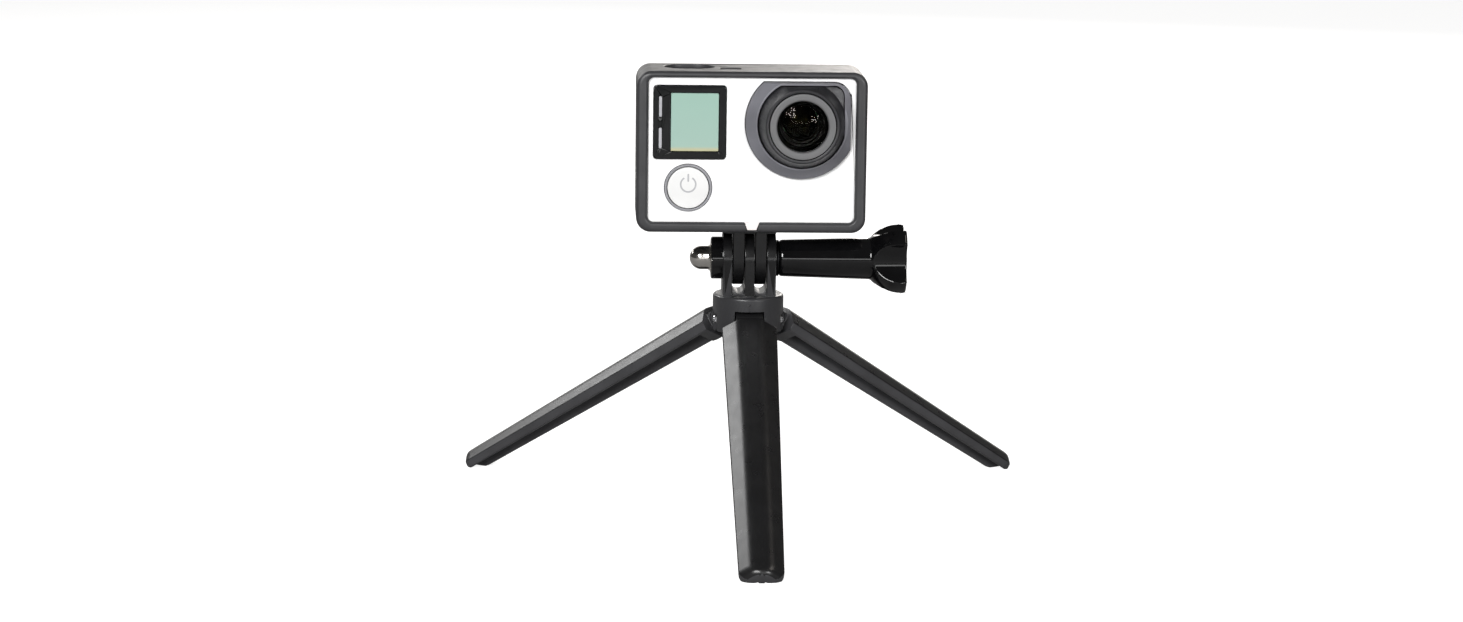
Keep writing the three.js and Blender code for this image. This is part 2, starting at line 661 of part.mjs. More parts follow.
function displayWindow() {
  const plate = prism("y", panelOutline(0, 1), CAM.face - 0.25, CAM.face + 1.1);
  const span = [CAM.face - 1, CAM.face + 2];
  const lcd = prism("y", roundedRect(LCD.x, LCD.z, LCD.width, LCD.height, 0.4), ...span);
  const slots = LIGHTS.map(([, z]) => prism("y", roundedRect(LIGHT_X, z, 1, 5.9, 0.45), ...span));
  return piece("display_window", cut(plate, lcd, ...slots), PANEL_GLASS);
}

function statusDisplay() {
  const outline = roundedRect(LCD.x, LCD.z, LCD.width - 0.3, LCD.height - 0.3, 0.3);
  return piece("status_display", prism("y", outline, CAM.face + 0.05, CAM.face + 2.6), LCD_GREEN);
}

function lightPipe([name, z]) {
  const outline = roundedRect(LIGHT_X, z, 0.8, 5.7, 0.38);
  return piece(name, prism("y", outline, CAM.face - 0.1, CAM.face + 2.4), LIGHT_PIPE);
}

function modeButton() {
  const profile = [
    [0, CAM.face - 0.5],
    [MODE.radius - 0.5, CAM.face - 0.5],
    [MODE.radius, CAM.face - 0.1],
    [MODE.radius, CAM.face + 1.2],
    [0, CAM.face + 1.2],
  ];
  return piece("mode_button", turned("y", [MODE.x, 0, MODE.z], profile, 40), FACE_WHITE);
}

function modeButtonRing() {
  const body = tube("y", [MODE.x, 0, MODE.z], MODE.ring, MODE.radius + 0.25, CAM.face - 0.3, CAM.face + 1.5, 40);
  return piece("mode_button_ring", body, RING_GREY);
}

function modeSwitch() {
  const can = box([MODE.x - 3, MODE.x + 3], [-5.6, -3.6], [MODE.z - 3, MODE.z + 3]);
  const dome = rod("y", [MODE.x, 0, MODE.z], 1.6, -6.3, -5.4, 20);
  return piece("mode_switch", join(can, dome), STEEL);
}

function shutterButton() {
  const profile = [
    [0, CAM.top - 2.2],
    [SHUTTER.radius, CAM.top - 2.2],
    [SHUTTER.radius, CAM.top - 0.2],
    [SHUTTER.radius - 0.5, CAM.top + 0.2],
    [0, CAM.top + 0.2],
  ];
  return piece("shutter_button", turned("z", [SHUTTER.x, SHUTTER.y, 0], profile, 36), CASE_GREY);
}

function shutterSwitch() {
  const [x, y] = [SHUTTER.x, SHUTTER.y];
  const can = box([x - 2.6, x + 2.6], [y - 2.6, y + 2.6], [CAM.top - 4.6, CAM.top - 3.3]);
  const dome = rod("z", [x, y, 0], 1.4, CAM.top - 3.4, CAM.top - 2.9, 20);
  return piece("shutter_switch", join(can, dome), STEEL);
}

function settingsButton() {
  const profile = [
    [0, CAM.half - 1.9],
    [SETTINGS.radius, CAM.half - 1.9],
    [SETTINGS.radius, CAM.half - 0.1],
    [SETTINGS.radius - 0.3, CAM.half + 0.15],
    [0, CAM.half + 0.15],
  ];
  return piece("settings_button", turned("x", [0, SETTINGS.y, SETTINGS.z], profile, 24), BEZEL_GREY);
}

const settingsSwitch = () =>
  piece("settings_switch", box([25.2, 26.8], [SETTINGS.y - 2, SETTINGS.y + 2], [SETTINGS.z - 2, SETTINGS.z + 2]), STEEL);

const mainBoard = () =>
  piece("main_board", box([-24.2, 24.2], [7.9, 9.1], [84.5, 117]), BOARD_GREEN);

function battery() {
  const cell = prism("z", spanRect([-23.9, 4.4], [-1.4, 7.4], 1.2), CAM.bottom + 2, 105);
  const contact = box([-20, -12], [2, 5], [104.5, 105.2]);
  return piece("battery", join(cell, contact), BATTERY_GREY);
}

function memoryCard() {
  const card = box([-27.2, -12.2], [6.3, 7.1], [105.4, 115.9]);
  const bevel = polygon([[-13.2, 104.4], [-11.2, 104.4], [-11.2, 107.4]]);
  return piece("memory_card", cut(card, prism("y", bevel, 5, 8)), PANEL_GLASS);
}

const speaker = () => piece("speaker", rod("y", [17, 0, 88.5], 5, -5.5, -1.5, 28), MATTE_BLACK);

// ---------------------------------------------------------------- assembly

const THIRD = (2 * Math.PI) / 3;
const camera = group(
  frontCover(), rearCase(), rearScreen(), batteryDoor(), ...caseScrews(), portDoor(),
  lensBezel(), lensShroud(), lensRing(), frontLens(), lensBarrel(), rearLens(), imageSensor(),
  displayWindow(), statusDisplay(), ...LIGHTS.map(lightPipe),
  modeButton(), modeButtonRing(), modeSwitch(), shutterButton(), shutterSwitch(),
  settingsButton(), settingsSwitch(),
  mainBoard(), battery(), memoryCard(), speaker(),
);
const clip = group(mountFrame(), clampLever(), leverPin());
const thumbScrew = group(thumbKnob(), clampScrew(), clampWasher(), capNut());
const stand = group(
  tripodHead(),
  leg("leg_front", 0), leg("leg_right", THIRD), leg("leg_left", -THIRD),
  hingePin("leg_pin_front", 0), hingePin("leg_pin_right", THIRD), hingePin("leg_pin_left", -THIRD),
);
const actionCamera = group(camera, clip, thumbScrew, stand);

// The frame's origin lies on the floor under the middle of the object's footprint.
const extent = new THREE.Box3().setFromObject(actionCamera, true);
actionCamera.position.y = -(extent.min.y + extent.max.y) / 2;

export default actionCamera;
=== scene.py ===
"""Looks of the action camera on its folding stand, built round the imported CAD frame.

Lengths in the shape code are millimetres, with the stand's own axis at x = y = 0; place() turns them into the
frame's metres. Each visible CAD node is replaced by a finer piece on the same body.
"""

import json
import math

import bmesh
import bpy
from mathutils import Matrix, Vector


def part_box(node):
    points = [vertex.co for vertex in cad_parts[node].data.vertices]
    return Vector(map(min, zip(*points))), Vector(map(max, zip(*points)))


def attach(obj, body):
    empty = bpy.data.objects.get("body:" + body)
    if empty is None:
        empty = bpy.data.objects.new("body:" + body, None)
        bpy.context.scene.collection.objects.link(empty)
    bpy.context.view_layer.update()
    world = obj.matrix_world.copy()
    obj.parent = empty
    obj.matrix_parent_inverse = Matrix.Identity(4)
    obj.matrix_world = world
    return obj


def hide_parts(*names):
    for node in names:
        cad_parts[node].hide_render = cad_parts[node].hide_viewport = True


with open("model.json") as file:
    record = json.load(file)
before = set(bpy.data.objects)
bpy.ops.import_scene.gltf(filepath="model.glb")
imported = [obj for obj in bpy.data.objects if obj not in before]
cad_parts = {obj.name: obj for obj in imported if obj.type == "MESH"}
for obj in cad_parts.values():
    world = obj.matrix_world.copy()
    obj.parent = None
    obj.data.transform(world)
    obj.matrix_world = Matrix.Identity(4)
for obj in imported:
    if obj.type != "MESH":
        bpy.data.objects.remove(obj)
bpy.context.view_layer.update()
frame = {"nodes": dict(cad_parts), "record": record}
MM = 0.001

# ---------------------------------------------------------------- places taken from the frame


def centre(node):
    low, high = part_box(node)
    return (low + high) / 2 / MM


AXIS_Y = centre("clamp_washer").y  # the stand's axis in the frame


def span(node):
    """Lowest and highest corner of a CAD node in millimetres, counted from the stand's axis."""
    low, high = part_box(node)
    shift = Vector((0, AXIS_Y, 0))
    return low / MM - shift, high / MM - shift


def middle(node):
    low, high = span(node)
    return (low + high) / 2


HINGE = middle("clamp_washer")
FRAME_LOW, FRAME_HIGH = span("mount_frame")
CASE_LOW, CASE_HIGH = span("rear_case")
FACE = span("front_cover")[0].y
COVER_BACK = span("front_cover")[1].y
LENS = middle("lens_ring")
PANEL = middle("display_window")
LCD = middle("status_display")
MODE = middle("mode_button_ring")
SHUTTER = middle("shutter_button")
SETTINGS = middle("settings_button")
PORT_LOW, PORT_HIGH = span("port_door")
PIN = middle("leg_pin_front")

# ---------------------------------------------------------------- camera

FOCAL_PX = 3313.8
IMAGE_W = 1463
VIEW = {"distance": 0.9279, "azimuth": -2.6, "elevation": 10.335, "roll": 0.77}
TARGET = Vector((-0.0046, AXIS_Y * MM, 0.05444))


def add_camera():
    data = bpy.data.cameras.new("camera")
    data.sensor_width = 36
    data.lens = FOCAL_PX / IMAGE_W * data.sensor_width
    data.clip_start, data.clip_end = 0.01, 50
    camera = bpy.data.objects.new("camera", data)
    bpy.context.scene.collection.objects.link(camera)
    azimuth, elevation = math.radians(VIEW["azimuth"]), math.radians(VIEW["elevation"])
    back = Vector((
        math.sin(azimuth) * math.cos(elevation),
        -math.cos(azimuth) * math.cos(elevation),
        math.sin(elevation),
    ))
    right = Vector((0, 0, 1)).cross(back).normalized()
    turn = Matrix((right, back.cross(right), back)).transposed().to_4x4()
    roll = Matrix.Rotation(math.radians(VIEW["roll"]), 4, "Z")
    camera.matrix_world = Matrix.Translation(TARGET + back * VIEW["distance"]) @ turn @ roll
    bpy.context.scene.camera = camera


add_camera()

# ---------------------------------------------------------------- outlines


def arc(cx, cy, radius, start, stop, steps):
    """Points on an arc, angles in degrees, both ends included."""
    angles = [math.radians(start + (stop - start) * i / steps) for i in range(steps + 1)]
    return [(cx + radius * math.cos(a), cy + radius * math.sin(a)) for a in angles]


def rounded(cx, cy, width, height, radius, steps=8):
    w, h = width / 2 - radius, height / 2 - radius
    corners = [(w, -h, -90), (w, h, 0), (-w, h, 90), (-w, -h, 180)]
    return [p for x, y, a in corners for p in arc(cx + x, cy + y, radius, a, a + 90, steps)]


def spanned(x, y, radius, steps=8):
    return rounded((x[0] + x[1]) / 2, (y[0] + y[1]) / 2, x[1] - x[0], y[1] - y[0], radius, steps)


def grown(pair, gap):
    return (pair[0] - gap, pair[1] + gap)


def filleted(points, radii, steps=4):
    """A polygon with each corner rounded to its own radius."""
    made = []
    for i, (point, radius) in enumerate(zip(points, radii)):
        p = Vector(point)
        to_last = (Vector(points[i - 1]) - p).normalized()
        to_next = (Vector(points[(i + 1) % len(points)]) - p).normalized()
        half = to_last.angle(to_next) / 2
        reach = radius / math.tan(half)
        centre_point = p + (to_last + to_next).normalized() * radius / math.sin(half)
        start = p + to_last * reach - centre_point
        turn = start.angle_signed(p + to_next * reach - centre_point)
        for k in range(steps + 1):
            made.append(tuple(centre_point + Matrix.Rotation(-turn * k / steps, 2) @ start))
    return made


def lens_outline(radius, top, side, corner, steps=72):
    """A circle cut flat on top and on one side, with a rounded corner between the flats."""
    x, z = LENS.x, LENS.z
    start = 180 - math.degrees(math.asin(top / radius))
    stop = 360 - math.degrees(math.acos(side / radius))
    return [
        *arc(x + side - corner, z + top - corner, corner, 0, 90, 12),
        *arc(x, z, radius, start, stop, steps),
    ]


# ---------------------------------------------------------------- solids


def made(vertices, faces):
    mesh = bpy.data.meshes.new("piece")
    mesh.from_pydata([tuple(v) for v in vertices], [], faces)
    work = bmesh.new()
    work.from_mesh(mesh)
    bmesh.ops.remove_doubles(work, verts=work.verts, dist=1e-5)
    bmesh.ops.recalc_face_normals(work, faces=work.faces)
    work.to_mesh(mesh)
    work.free()
    piece = bpy.data.objects.new("piece", mesh)
    bpy.context.scene.collection.objects.link(piece)
    return piece


def at_station(axis, point, station):
    u, v = point
    return {"x": (station, u, v), "y": (u, station, v), "z": (u, v, station)}[axis]


def loft(axis, rings):
    """Outlines with the same number of points at their stations, skinned and capped."""
    count = len(rings[0][0])
    vertices = [at_station(axis, p, station) for outline, station in rings for p in outline]
    faces = [tuple(range(count)), tuple(range((len(rings) - 1) * count, len(rings) * count))]
    for r in range(len(rings) - 1):
        for i in range(count):
            j = (i + 1) % count
            faces.append((r * count + i, r * count + j, (r + 1) * count + j, (r + 1) * count + i))
    return made(vertices, faces)


def prism(axis, outline, low, high):
    return loft(axis, [(outline, low), (outline, high)])


def block(x, y, z):
    corners = [(x[0], y[0]), (x[1], y[0]), (x[1], y[1]), (x[0], y[1])]
    return prism("z", corners, z[0], z[1])


def lathe(axis, at, profile, sides=96, closed=False):
    """A body turned about an axis through `at`; the profile holds (radius, station) pairs."""
    vertices, rings = [], []
    for radius, station in profile:
        if radius < 1e-6:
            rings.append([len(vertices)])
            vertices.append(at_station(axis, (0, 0), station))
            continue
        rings.append(list(range(len(vertices), len(vertices) + sides)))
        for u, v in arc(0, 0, radius, 0, 360, sides)[:-1]:
            vertices.append(at_station(axis, (u, v), station))
    faces = []
    pairs = list(zip(rings, rings[1:]))
    if closed:
        pairs.append((rings[-1], rings[0]))
    for one, two in pairs:
        for i in range(sides):
            j = (i + 1) % sides
            corners = [one[i % len(one)], one[j % len(one)], two[j % len(two)], two[i % len(two)]]
            face = list(dict.fromkeys(corners))
            if len(face) > 2:
                faces.append(tuple(face))
    return made([Vector(v) + Vector(at) for v in vertices], faces)


def rod(axis, at, radius, low, high, sides=64):
    return lathe(axis, at, [(0, low), (radius, low), (radius, high), (0, high)], sides)


def applied(piece):
    """The piece with its modifiers made part of its mesh."""
    graph = bpy.context.evaluated_depsgraph_get()
    mesh = bpy.data.meshes.new_from_object(piece.evaluated_get(graph))
    piece.modifiers.clear()
    old, piece.data = piece.data, mesh
    bpy.data.meshes.remove(old)
    return piece


def combine(base, operation, others):
    for other in others:
        step = base.modifiers.new("step", "BOOLEAN")
        step.operation, step.solver, step.object = operation, "MANIFOLD", other
    applied(base)
    for other in others:
        bpy.data.objects.remove(other)
    return base


def join(base, *others):
    return combine(base, "UNION", others)


def cut(base, *others):
    return combine(base, "DIFFERENCE", others)


def common(base, other):
    return combine(base, "INTERSECT", [other])


def soften(piece, width, segments=3, angle=32, tidy=True):
    """Flat faces merged, then every edge sharper than the angle rounded."""
    if tidy:
        work = bmesh.new()
        work.from_mesh(piece.data)
        bmesh.ops.remove_doubles(work, verts=work.verts, dist=2e-3)
        bmesh.ops.dissolve_limit(
            work, angle_limit=math.radians(0.4), verts=work.verts, edges=work.edges, delimit={"NORMAL"}
        )
        bmesh.ops.triangulate(work, faces=[face for face in work.faces if len(face.verts) > 4])
        work.to_mesh(piece.data)
        work.free()
    if width:
        bevel = piece.modifiers.new("round", "BEVEL")
        bevel.width, bevel.segments = width, segments
        bevel.limit_method, bevel.angle_limit = "ANGLE", math.radians(angle)
        bevel.use_clamp_overlap = False
        bevel.miter_outer = "MITER_ARC"
        applied(piece)
    return piece


def finish_and_shade_zone(piece, material, inside):
    """Gives the faces whose middle passes the test another material, used both for a finish of their own and
    for painted shade. Lengths are millimetres.
    """
    piece.data.materials.append(material)
    shift = Vector((0, AXIS_Y, 0))
    for face in piece.data.polygons:
        if inside(face.center / MM - shift):
            face.material_index = len(piece.data.materials) - 1


def place(piece, name, body, nodes, material, sharp=28, turn=None):
    """Scales a piece into the frame, shades it, and says what it stands for and rides on."""
    matrix = Matrix.Translation((0, AXIS_Y * MM, 0)) @ Matrix.Scale(MM, 4)
    piece.data.transform(matrix @ turn if turn else matrix)
    piece.data.polygons.foreach_set("use_smooth", [True] * len(piece.data.polygons))
    piece.data.set_sharp_from_angle(angle=math.radians(sharp))
    weight = piece.modifiers.new("weight", "WEIGHTED_NORMAL")
    weight.keep_sharp = True
    applied(piece)
    piece.name = name
    piece.data.name = name
    piece.data.materials.clear()
    piece.data.materials.append(material)
    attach(piece, body)
    if nodes:
        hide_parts(*nodes)
    return piece


# ---------------------------------------------------------------- materials


class Nodes:
    """Short names for building a node material on one Principled shader."""

    def __init__(self, name, color, roughness, metallic=0.0, specular=0.5):
        self.material = bpy.data.materials.new(name)
        self.material.use_nodes = True
        self.tree = self.material.node_tree
        self.shader = self.tree.nodes["Principled BSDF"]
        self.color = color
        self.set("Base Color", (*color, 1))
        self.set("Roughness", roughness)
        self.set("Metallic", metallic)
        self.set("Specular IOR Level", specular)
        self.place = self.add("ShaderNodeTexCoord").outputs["Object"]

    def add(self, kind, **values):
        node = self.tree.nodes.new(kind)
        for key, value in values.items():
            setattr(node, key, value)
        return node

    def set(self, socket, value):
        self.shader.inputs[socket].default_value = value

    def link(self, out, into):
        self.tree.links.new(out, into)

    def noise(self, size_mm, detail=3.0, stretch=None):
        """Noise whose features are about size_mm across, from 0 to 1."""
        node = self.add("ShaderNodeTexNoise")
        node.inputs["Scale"].default_value = 1 / (size_mm * MM)
        node.inputs["Detail"].default_value = detail
        vector = self.place
        if stretch:
            mapping = self.add("ShaderNodeMapping")
            mapping.inputs["Scale"].default_value = stretch
            self.link(vector, mapping.inputs["Vector"])
            vector = mapping.outputs["Vector"]
        self.link(vector, node.inputs["Vector"])
        return node.outputs["Fac"]

    def ramp(self, value, low, high, to_low, to_high):
        node = self.add("ShaderNodeMapRange")
        self.link(value, node.inputs["Value"])
        for socket, number in zip(("From Min", "From Max", "To Min", "To Max"), (low, high, to_low, to_high)):
            node.inputs[socket].default_value = number
        return node.outputs["Result"]

    def tint(self, value, first, second):
        node = self.add("ShaderNodeMix", data_type="RGBA")
        self.link(value, node.inputs["Factor"])
        node.inputs["A"].default_value = (*first, 1)
        node.inputs["B"].default_value = (*second, 1)
        return node.outputs["Result"]

    def bump(self, height, depth_mm, strength=1.0, under=None):
        node = self.add("ShaderNodeBump")
        node.inputs["Distance"].default_value = depth_mm * MM
        node.inputs["Strength"].default_value = strength
        self.link(height, node.inputs["Height"])
        if under:
            self.link(under, node.inputs["Normal"])
        self.link(node.outputs["Normal"], self.shader.inputs["Normal"])
        return node.outputs["Normal"]


def linear(code):
    """A colour given as six hex digits, in linear light."""
    parts = [int(code[i:i + 2], 16) / 255 for i in (0, 2, 4)]
    return tuple(c / 12.92 if c <= 0.04045 else ((c + 0.055) / 1.055) ** 2.4 for c in parts)


def moulded(name, code, roughness, grain_mm=0.16, depth_mm=0.006, specular=0.5, change=0.12, patch_mm=9):
    """Moulded plastic: fine spark-eroded grain, faint flow marks and a slightly uneven sheen."""
    n = Nodes(name, linear(code), roughness, specular=specular)
    patches = n.noise(patch_mm, 2)
    dark = tuple(c * (1 - change) for c in n.color)
    light = tuple(c * (1 + change) for c in n.color)
    n.link(n.tint(n.ramp(patches, 0.35, 0.65, 0, 1), dark, light), n.shader.inputs["Base Color"])
    smudge = n.noise(3.5, 4)
    n.link(n.ramp(smudge, 0.3, 0.7, roughness * 0.88, roughness * 1.14), n.shader.inputs["Roughness"])
    flow = n.bump(n.noise(6, 1), 0.02, 0.5)
    n.bump(n.noise(grain_mm, 4), depth_mm, 1.0, flow)
    return n.material


def glossy(name, code, roughness, specular=0.5, wave_mm=0.012):
    """Polished plastic: nearly smooth, with slight sinks, dust-fine haze and handling marks."""
    n = Nodes(name, linear(code), roughness, specular=specular)
    lift = tuple(c * 1.5 + 0.001 for c in n.color)
    n.link(n.tint(n.ramp(n.noise(7, 3), 0.4, 0.8, 0, 1), n.color, lift), n.shader.inputs["Base Color"])
    haze = n.ramp(n.noise(2.2, 5), 0.35, 0.75, roughness * 0.7, roughness * 1.7)
    n.link(haze, n.shader.inputs["Roughness"])
    n.bump(n.noise(5, 1), wave_mm, 0.6)
    return n.material


def metal(name, code, roughness, stretch=(1, 1, 1), line_mm=0.12, depth_mm=0.002):
    """Bare metal with fine turning or brushing lines and a faint tarnish."""
    n = Nodes(name, linear(code), roughness, metallic=1.0)
    lines = n.noise(line_mm, 2, stretch)
    n.link(n.ramp(n.noise(1.8, 3), 0.3, 0.7, roughness * 0.7, roughness * 1.4), n.shader.inputs["Roughness"])
    dull = tuple(c * 0.86 for c in n.color)
    n.link(n.tint(n.ramp(n.noise(2.6, 3), 0.35, 0.75, 0, 1), n.color, dull), n.shader.inputs["Base Color"])
    n.bump(lines, depth_mm, 0.8)
    return n.material


def silver_paint(name="silver_white", first="f1f1f2", second="f8f8f7"):
    """Silvery-white lacquer over fine flake."""
    n = Nodes(name, linear(first), 0.36)
    flake = n.noise(0.09, 1)
    cloud = n.ramp(n.noise(12, 2), 0.3, 0.7, 0, 1)
    n.link(n.tint(cloud, linear(first), linear(second)), n.shader.inputs["Base Color"])
    n.link(n.ramp(flake, 0.35, 0.65, 0.3, 0.42), n.shader.inputs["Roughness"])
    n.set("Coat Weight", 0.25)
    n.set("Coat Roughness", 0.12)
    n.bump(flake, 0.003, 0.6, n.bump(n.noise(8, 1), 0.015, 0.3))
    return n.material


def liquid_crystal():
    """Blank reflective display: grey-green, darkening towards its top as painted shade, with a pale yellowish
    line along its lower edge and a fine dot grid.
    """
    n = Nodes("liquid_crystal", linear("a9cbb9"), 0.32)
    split = n.add("ShaderNodeSeparateXYZ")
    n.link(n.place, split.inputs["Vector"])
    low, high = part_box("status_display")
    # Colour ramps by height: darker towards the top as painted shade.
    rise = n.ramp(split.outputs["Z"], low.z, high.z, 0, 1)
    body = n.tint(rise, linear("99b4a9"), linear("92b2a5"))
    edge = n.ramp(split.outputs["Z"], low.z + 0.0005, low.z + 0.0013, 1, 0)
    mix = n.add("ShaderNodeMix", data_type="RGBA")
    n.link(edge, mix.inputs["Factor"])
    n.link(body, mix.inputs["A"])
    mix.inputs["B"].default_value = (*linear("b5b492"), 1)
    dots = []
    for direction in ("X", "Z"):
        wave = n.add("ShaderNodeTexWave", bands_direction=direction)
        wave.inputs["Scale"].default_value = 1 / (0.3 * MM) / 3.18
        n.link(n.place, wave.inputs["Vector"])
        dots.append(wave.outputs["Fac"])
    grid = n.add("ShaderNodeMath", operation="MAXIMUM")
    n.link(dots[0], grid.inputs[0])
    n.link(dots[1], grid.inputs[1])
    shade = n.add("ShaderNodeMix", data_type="RGBA", blend_type="MULTIPLY")
    n.link(n.ramp(grid.outputs["Value"], 0.9, 1, 0, 0.12), shade.inputs["Factor"])
    n.link(mix.outputs["Result"], shade.inputs["A"])
    shade.inputs["B"].default_value = (0.72, 0.78, 0.75, 1)
    n.link(shade.outputs["Result"], n.shader.inputs["Base Color"])
    n.bump(n.noise(0.2, 2), 0.001, 0.4)
    return n.material


def optical_glass(name, code):
    """Glass with an anti-reflection coating, which leaves only a weak mirror image."""
    n = Nodes(name, linear(code), 0.01)
    n.set("Transmission Weight", 1.0)
    n.set("IOR", 1.12)
    n.link(n.ramp(n.noise(1.5, 4), 0.45, 0.8, 0.004, 0.02), n.shader.inputs["Roughness"])
    return n.material


def coated_glass():
    """The inner element's dark, olive-tinted coating."""
    n = Nodes("coated_glass", linear("030301"), 0.2, specular=0.12)
    n.set("Specular Tint", (*linear("a8a040"), 1))
    patches = n.ramp(n.noise(2, 2), 0.3, 0.7, 0, 1)
    n.link(n.tint(patches, linear("030302"), linear("080703")), n.shader.inputs["Base Color"])
    n.bump(n.noise(3, 1), 0.003, 0.4)
    return n.material


def circuit_board():
    """Solder-masked board with faint copper tracks."""
    n = Nodes("circuit_board", linear("1d4a34"), 0.4)
    brick = n.add("ShaderNodeTexBrick")
    brick.inputs["Scale"].default_value = 1 / (4 * MM)
    brick.inputs["Mortar Size"].default_value = 0.03
    for socket, code in (("Color1", "1b4732"), ("Color2", "215340"), ("Mortar", "3f7a52")):
        brick.inputs[socket].default_value = (*linear(code), 1)
    n.link(n.place, brick.inputs["Vector"])
    n.link(brick.outputs["Color"], n.shader.inputs["Base Color"])
    n.bump(brick.outputs["Fac"], 0.03, 0.5)
    return n.material


PALE_INSERT = moulded("pale_insert", "efe9e7", 0.4, grain_mm=0.1, depth_mm=0.002, change=0.02)
# Near-black gloss: the frame's glossy prongs, and painted shade on the upper parts of the stand head's
# prongs.
PRONG_GLOSS_AND_SHADE = moulded("prong_gloss_and_shade", "0f0f10", 0.22, grain_mm=0.3, depth_mm=0.002)
SATIN_BLACK = moulded("satin_black", "353537", 0.4, depth_mm=0.004)
STAND_GREY = moulded("stand_grey", "303032", 0.32, grain_mm=0.2, depth_mm=0.003)
# Lit and shaded copies of the legs' one plastic: painted light on the walls and webs, painted shade on the
# crowns.
LEG_PAINTED_LIT = moulded("leg_painted_lit", "3b3b3d", 0.4, grain_mm=0.2, depth_mm=0.003)
LEG_PAINTED_SHADE = moulded("leg_painted_shade", "161617", 0.3, grain_mm=0.2, depth_mm=0.003)
GLOSS_BLACK = glossy("gloss_black", "070708", 0.07, specular=0.55)
PANEL_BLACK = glossy("panel_black", "0c0d0e", 0.09)
CASE_GREY = moulded("case_grey", "47484c", 0.5)
BEZEL_GREY = moulded("bezel_grey", "6c6c72", 0.42, grain_mm=0.12, depth_mm=0.004)
SHROUD_GREY = moulded("shroud_grey", "222225", 0.38, grain_mm=0.12, depth_mm=0.004)
RING_GREY = moulded("ring_grey", "646465", 0.4, grain_mm=0.1, depth_mm=0.002, change=0.05)
BAFFLE_BLACK = moulded("baffle_black", "040404", 0.75, grain_mm=0.1, specular=0.15)
LIGHT_PIPE = moulded("light_pipe", "a9a9ad", 0.3, grain_mm=0.3, depth_mm=0.002, change=0.05)
BUTTON_RIM = moulded("button_rim", "97979b", 0.3, grain_mm=0.1, depth_mm=0.002, change=0.05)
POWER_INK = moulded("power_ink", "aeaeb1", 0.4, grain_mm=0.1, depth_mm=0.001, change=0.05)
BATTERY_GREY = moulded("battery_grey", "6a6d72", 0.5)
FACE_WHITE = silver_paint()
BUTTON_WHITE = silver_paint("button_white", "dededd", "ececeb")
LCD_GREEN = liquid_crystal()
FRONT_GLASS = optical_glass("front_glass", "f4f6f2")
INNER_GLASS = coated_glass()
STEEL = metal("steel", "d2d2d4", 0.22, stretch=(1, 0.1, 1))
BLACK_OXIDE = metal("black_oxide", "2a2a2c", 0.3, line_mm=0.1)
CHROME = metal("chrome", "dcd8d2", 0.14, line_mm=0.2, depth_mm=0.0004)
BOARD_GREEN = circuit_board()

# ---------------------------------------------------------------- stand

HINGE_BORE = 2.75
LEG = {"open": 59, "length": 98.4, "shoulder": 3.4, "knuckle": 3, "lug": 3.7}
SECTION_TOP = [(1.6, 2.8), (1.6, 10), (6.4, 5.2), (7.6, 5.5), (7.75, 8), (3, 11.5)]
SECTION_FOOT = [(1.3, 2.4), (1.3, 7.4), (4.7, 3.7), (5.8, 3.9), (5.95, 6), (2.4, 8.7)]
SECTION_RADII = [0.35, 0.4, 0.3, 0.4, 0.9, 4.6]
TIP = {"side_radius": 3.3, "half_width": 5.9, "crown_radius": 1.6, "rim": 3.9, "rise": 4.8}


def leg_outline(section):
    """A leg's shell and web as (across, inward) points about its pin, with rounded ridges."""
    depth = -PIN.y
    half = [(across, depth - out) for across, out in section]
    mirrored = [(-across, inward) for across, inward in reversed(half)]
    return filleted(half + mirrored, SECTION_RADII + SECTION_RADII[::-1], 6)


def round_off(radius, distance):
    """How far a rounded end of that radius stands back at a distance from its tip."""
    left = max(0, radius - distance)
    return radius - math.sqrt(radius * radius - left * left)


def foot_rings():
    """Leg outlines from the rounded tip of the foot up to the pin."""
    whole = LEG["length"]
    rings = []
    for distance in (0, 0.08, 0.25, 0.5, 0.9, 1.4, 2, 2.7, 3.4, whole):
        t = distance / whole
        side = 1 - round_off(TIP["side_radius"], distance) / TIP["half_width"]
        crown = round_off(TIP["crown_radius"], distance)
        section = []
        for (foot_x, foot_out), (top_x, top_out) in zip(SECTION_FOOT, SECTION_TOP):
            across, out = foot_x + (top_x - foot_x) * t, foot_out + (top_out - foot_out) * t
            section.append((across * side, out - crown * max(0, (out - TIP["rim"]) / TIP["rise"])))
        rings.append((leg_outline(section), distance - whole))
    return rings


def leg_piece():
    body = loft("z", foot_rings())
    cut(body, block((-12, 12), (-8, 8), (-LEG["shoulder"], 8)))
    depth = -PIN.y
    half = [(1.4, depth - 2.3), (7.4, depth - 5.5), (7.4, depth - 7.6), (3, depth - 10.6)]
    wall_outline = [(-x, y) for x, y in half] + half[::-1]
    wall = prism("z", filleted(wall_outline, [0.3, 0.4, 0.4, 0.4] * 2, 4), -6.6, -LEG["shoulder"])
    lug = rod("x", (0, 0, 0), LEG["knuckle"], -LEG["lug"], LEG["lug"])
    neck = block((-LEG["lug"] + 0.05, LEG["lug"] - 0.05), (-2.65, LEG["knuckle"] - 0.05), (-6, 0))
    knuckle = cut(join(lug, neck), block((-12, 12), (LEG["knuckle"] - 0.4, 8), (-LEG["shoulder"], 8)))
    join(body, wall, knuckle)
    ground = block((-40, 40), (-200, 200), (-PIN.z - 30, 0.06 - PIN.z))
    ground.data.transform(Matrix.Rotation(math.radians(LEG["open"]), 4, "X"))
    bore = rod("x", (0, 0, 0), 1.15, -10, 10, 32)
    cut(body, ground, bore)
    return soften(body, 0.16, 2, angle=36)


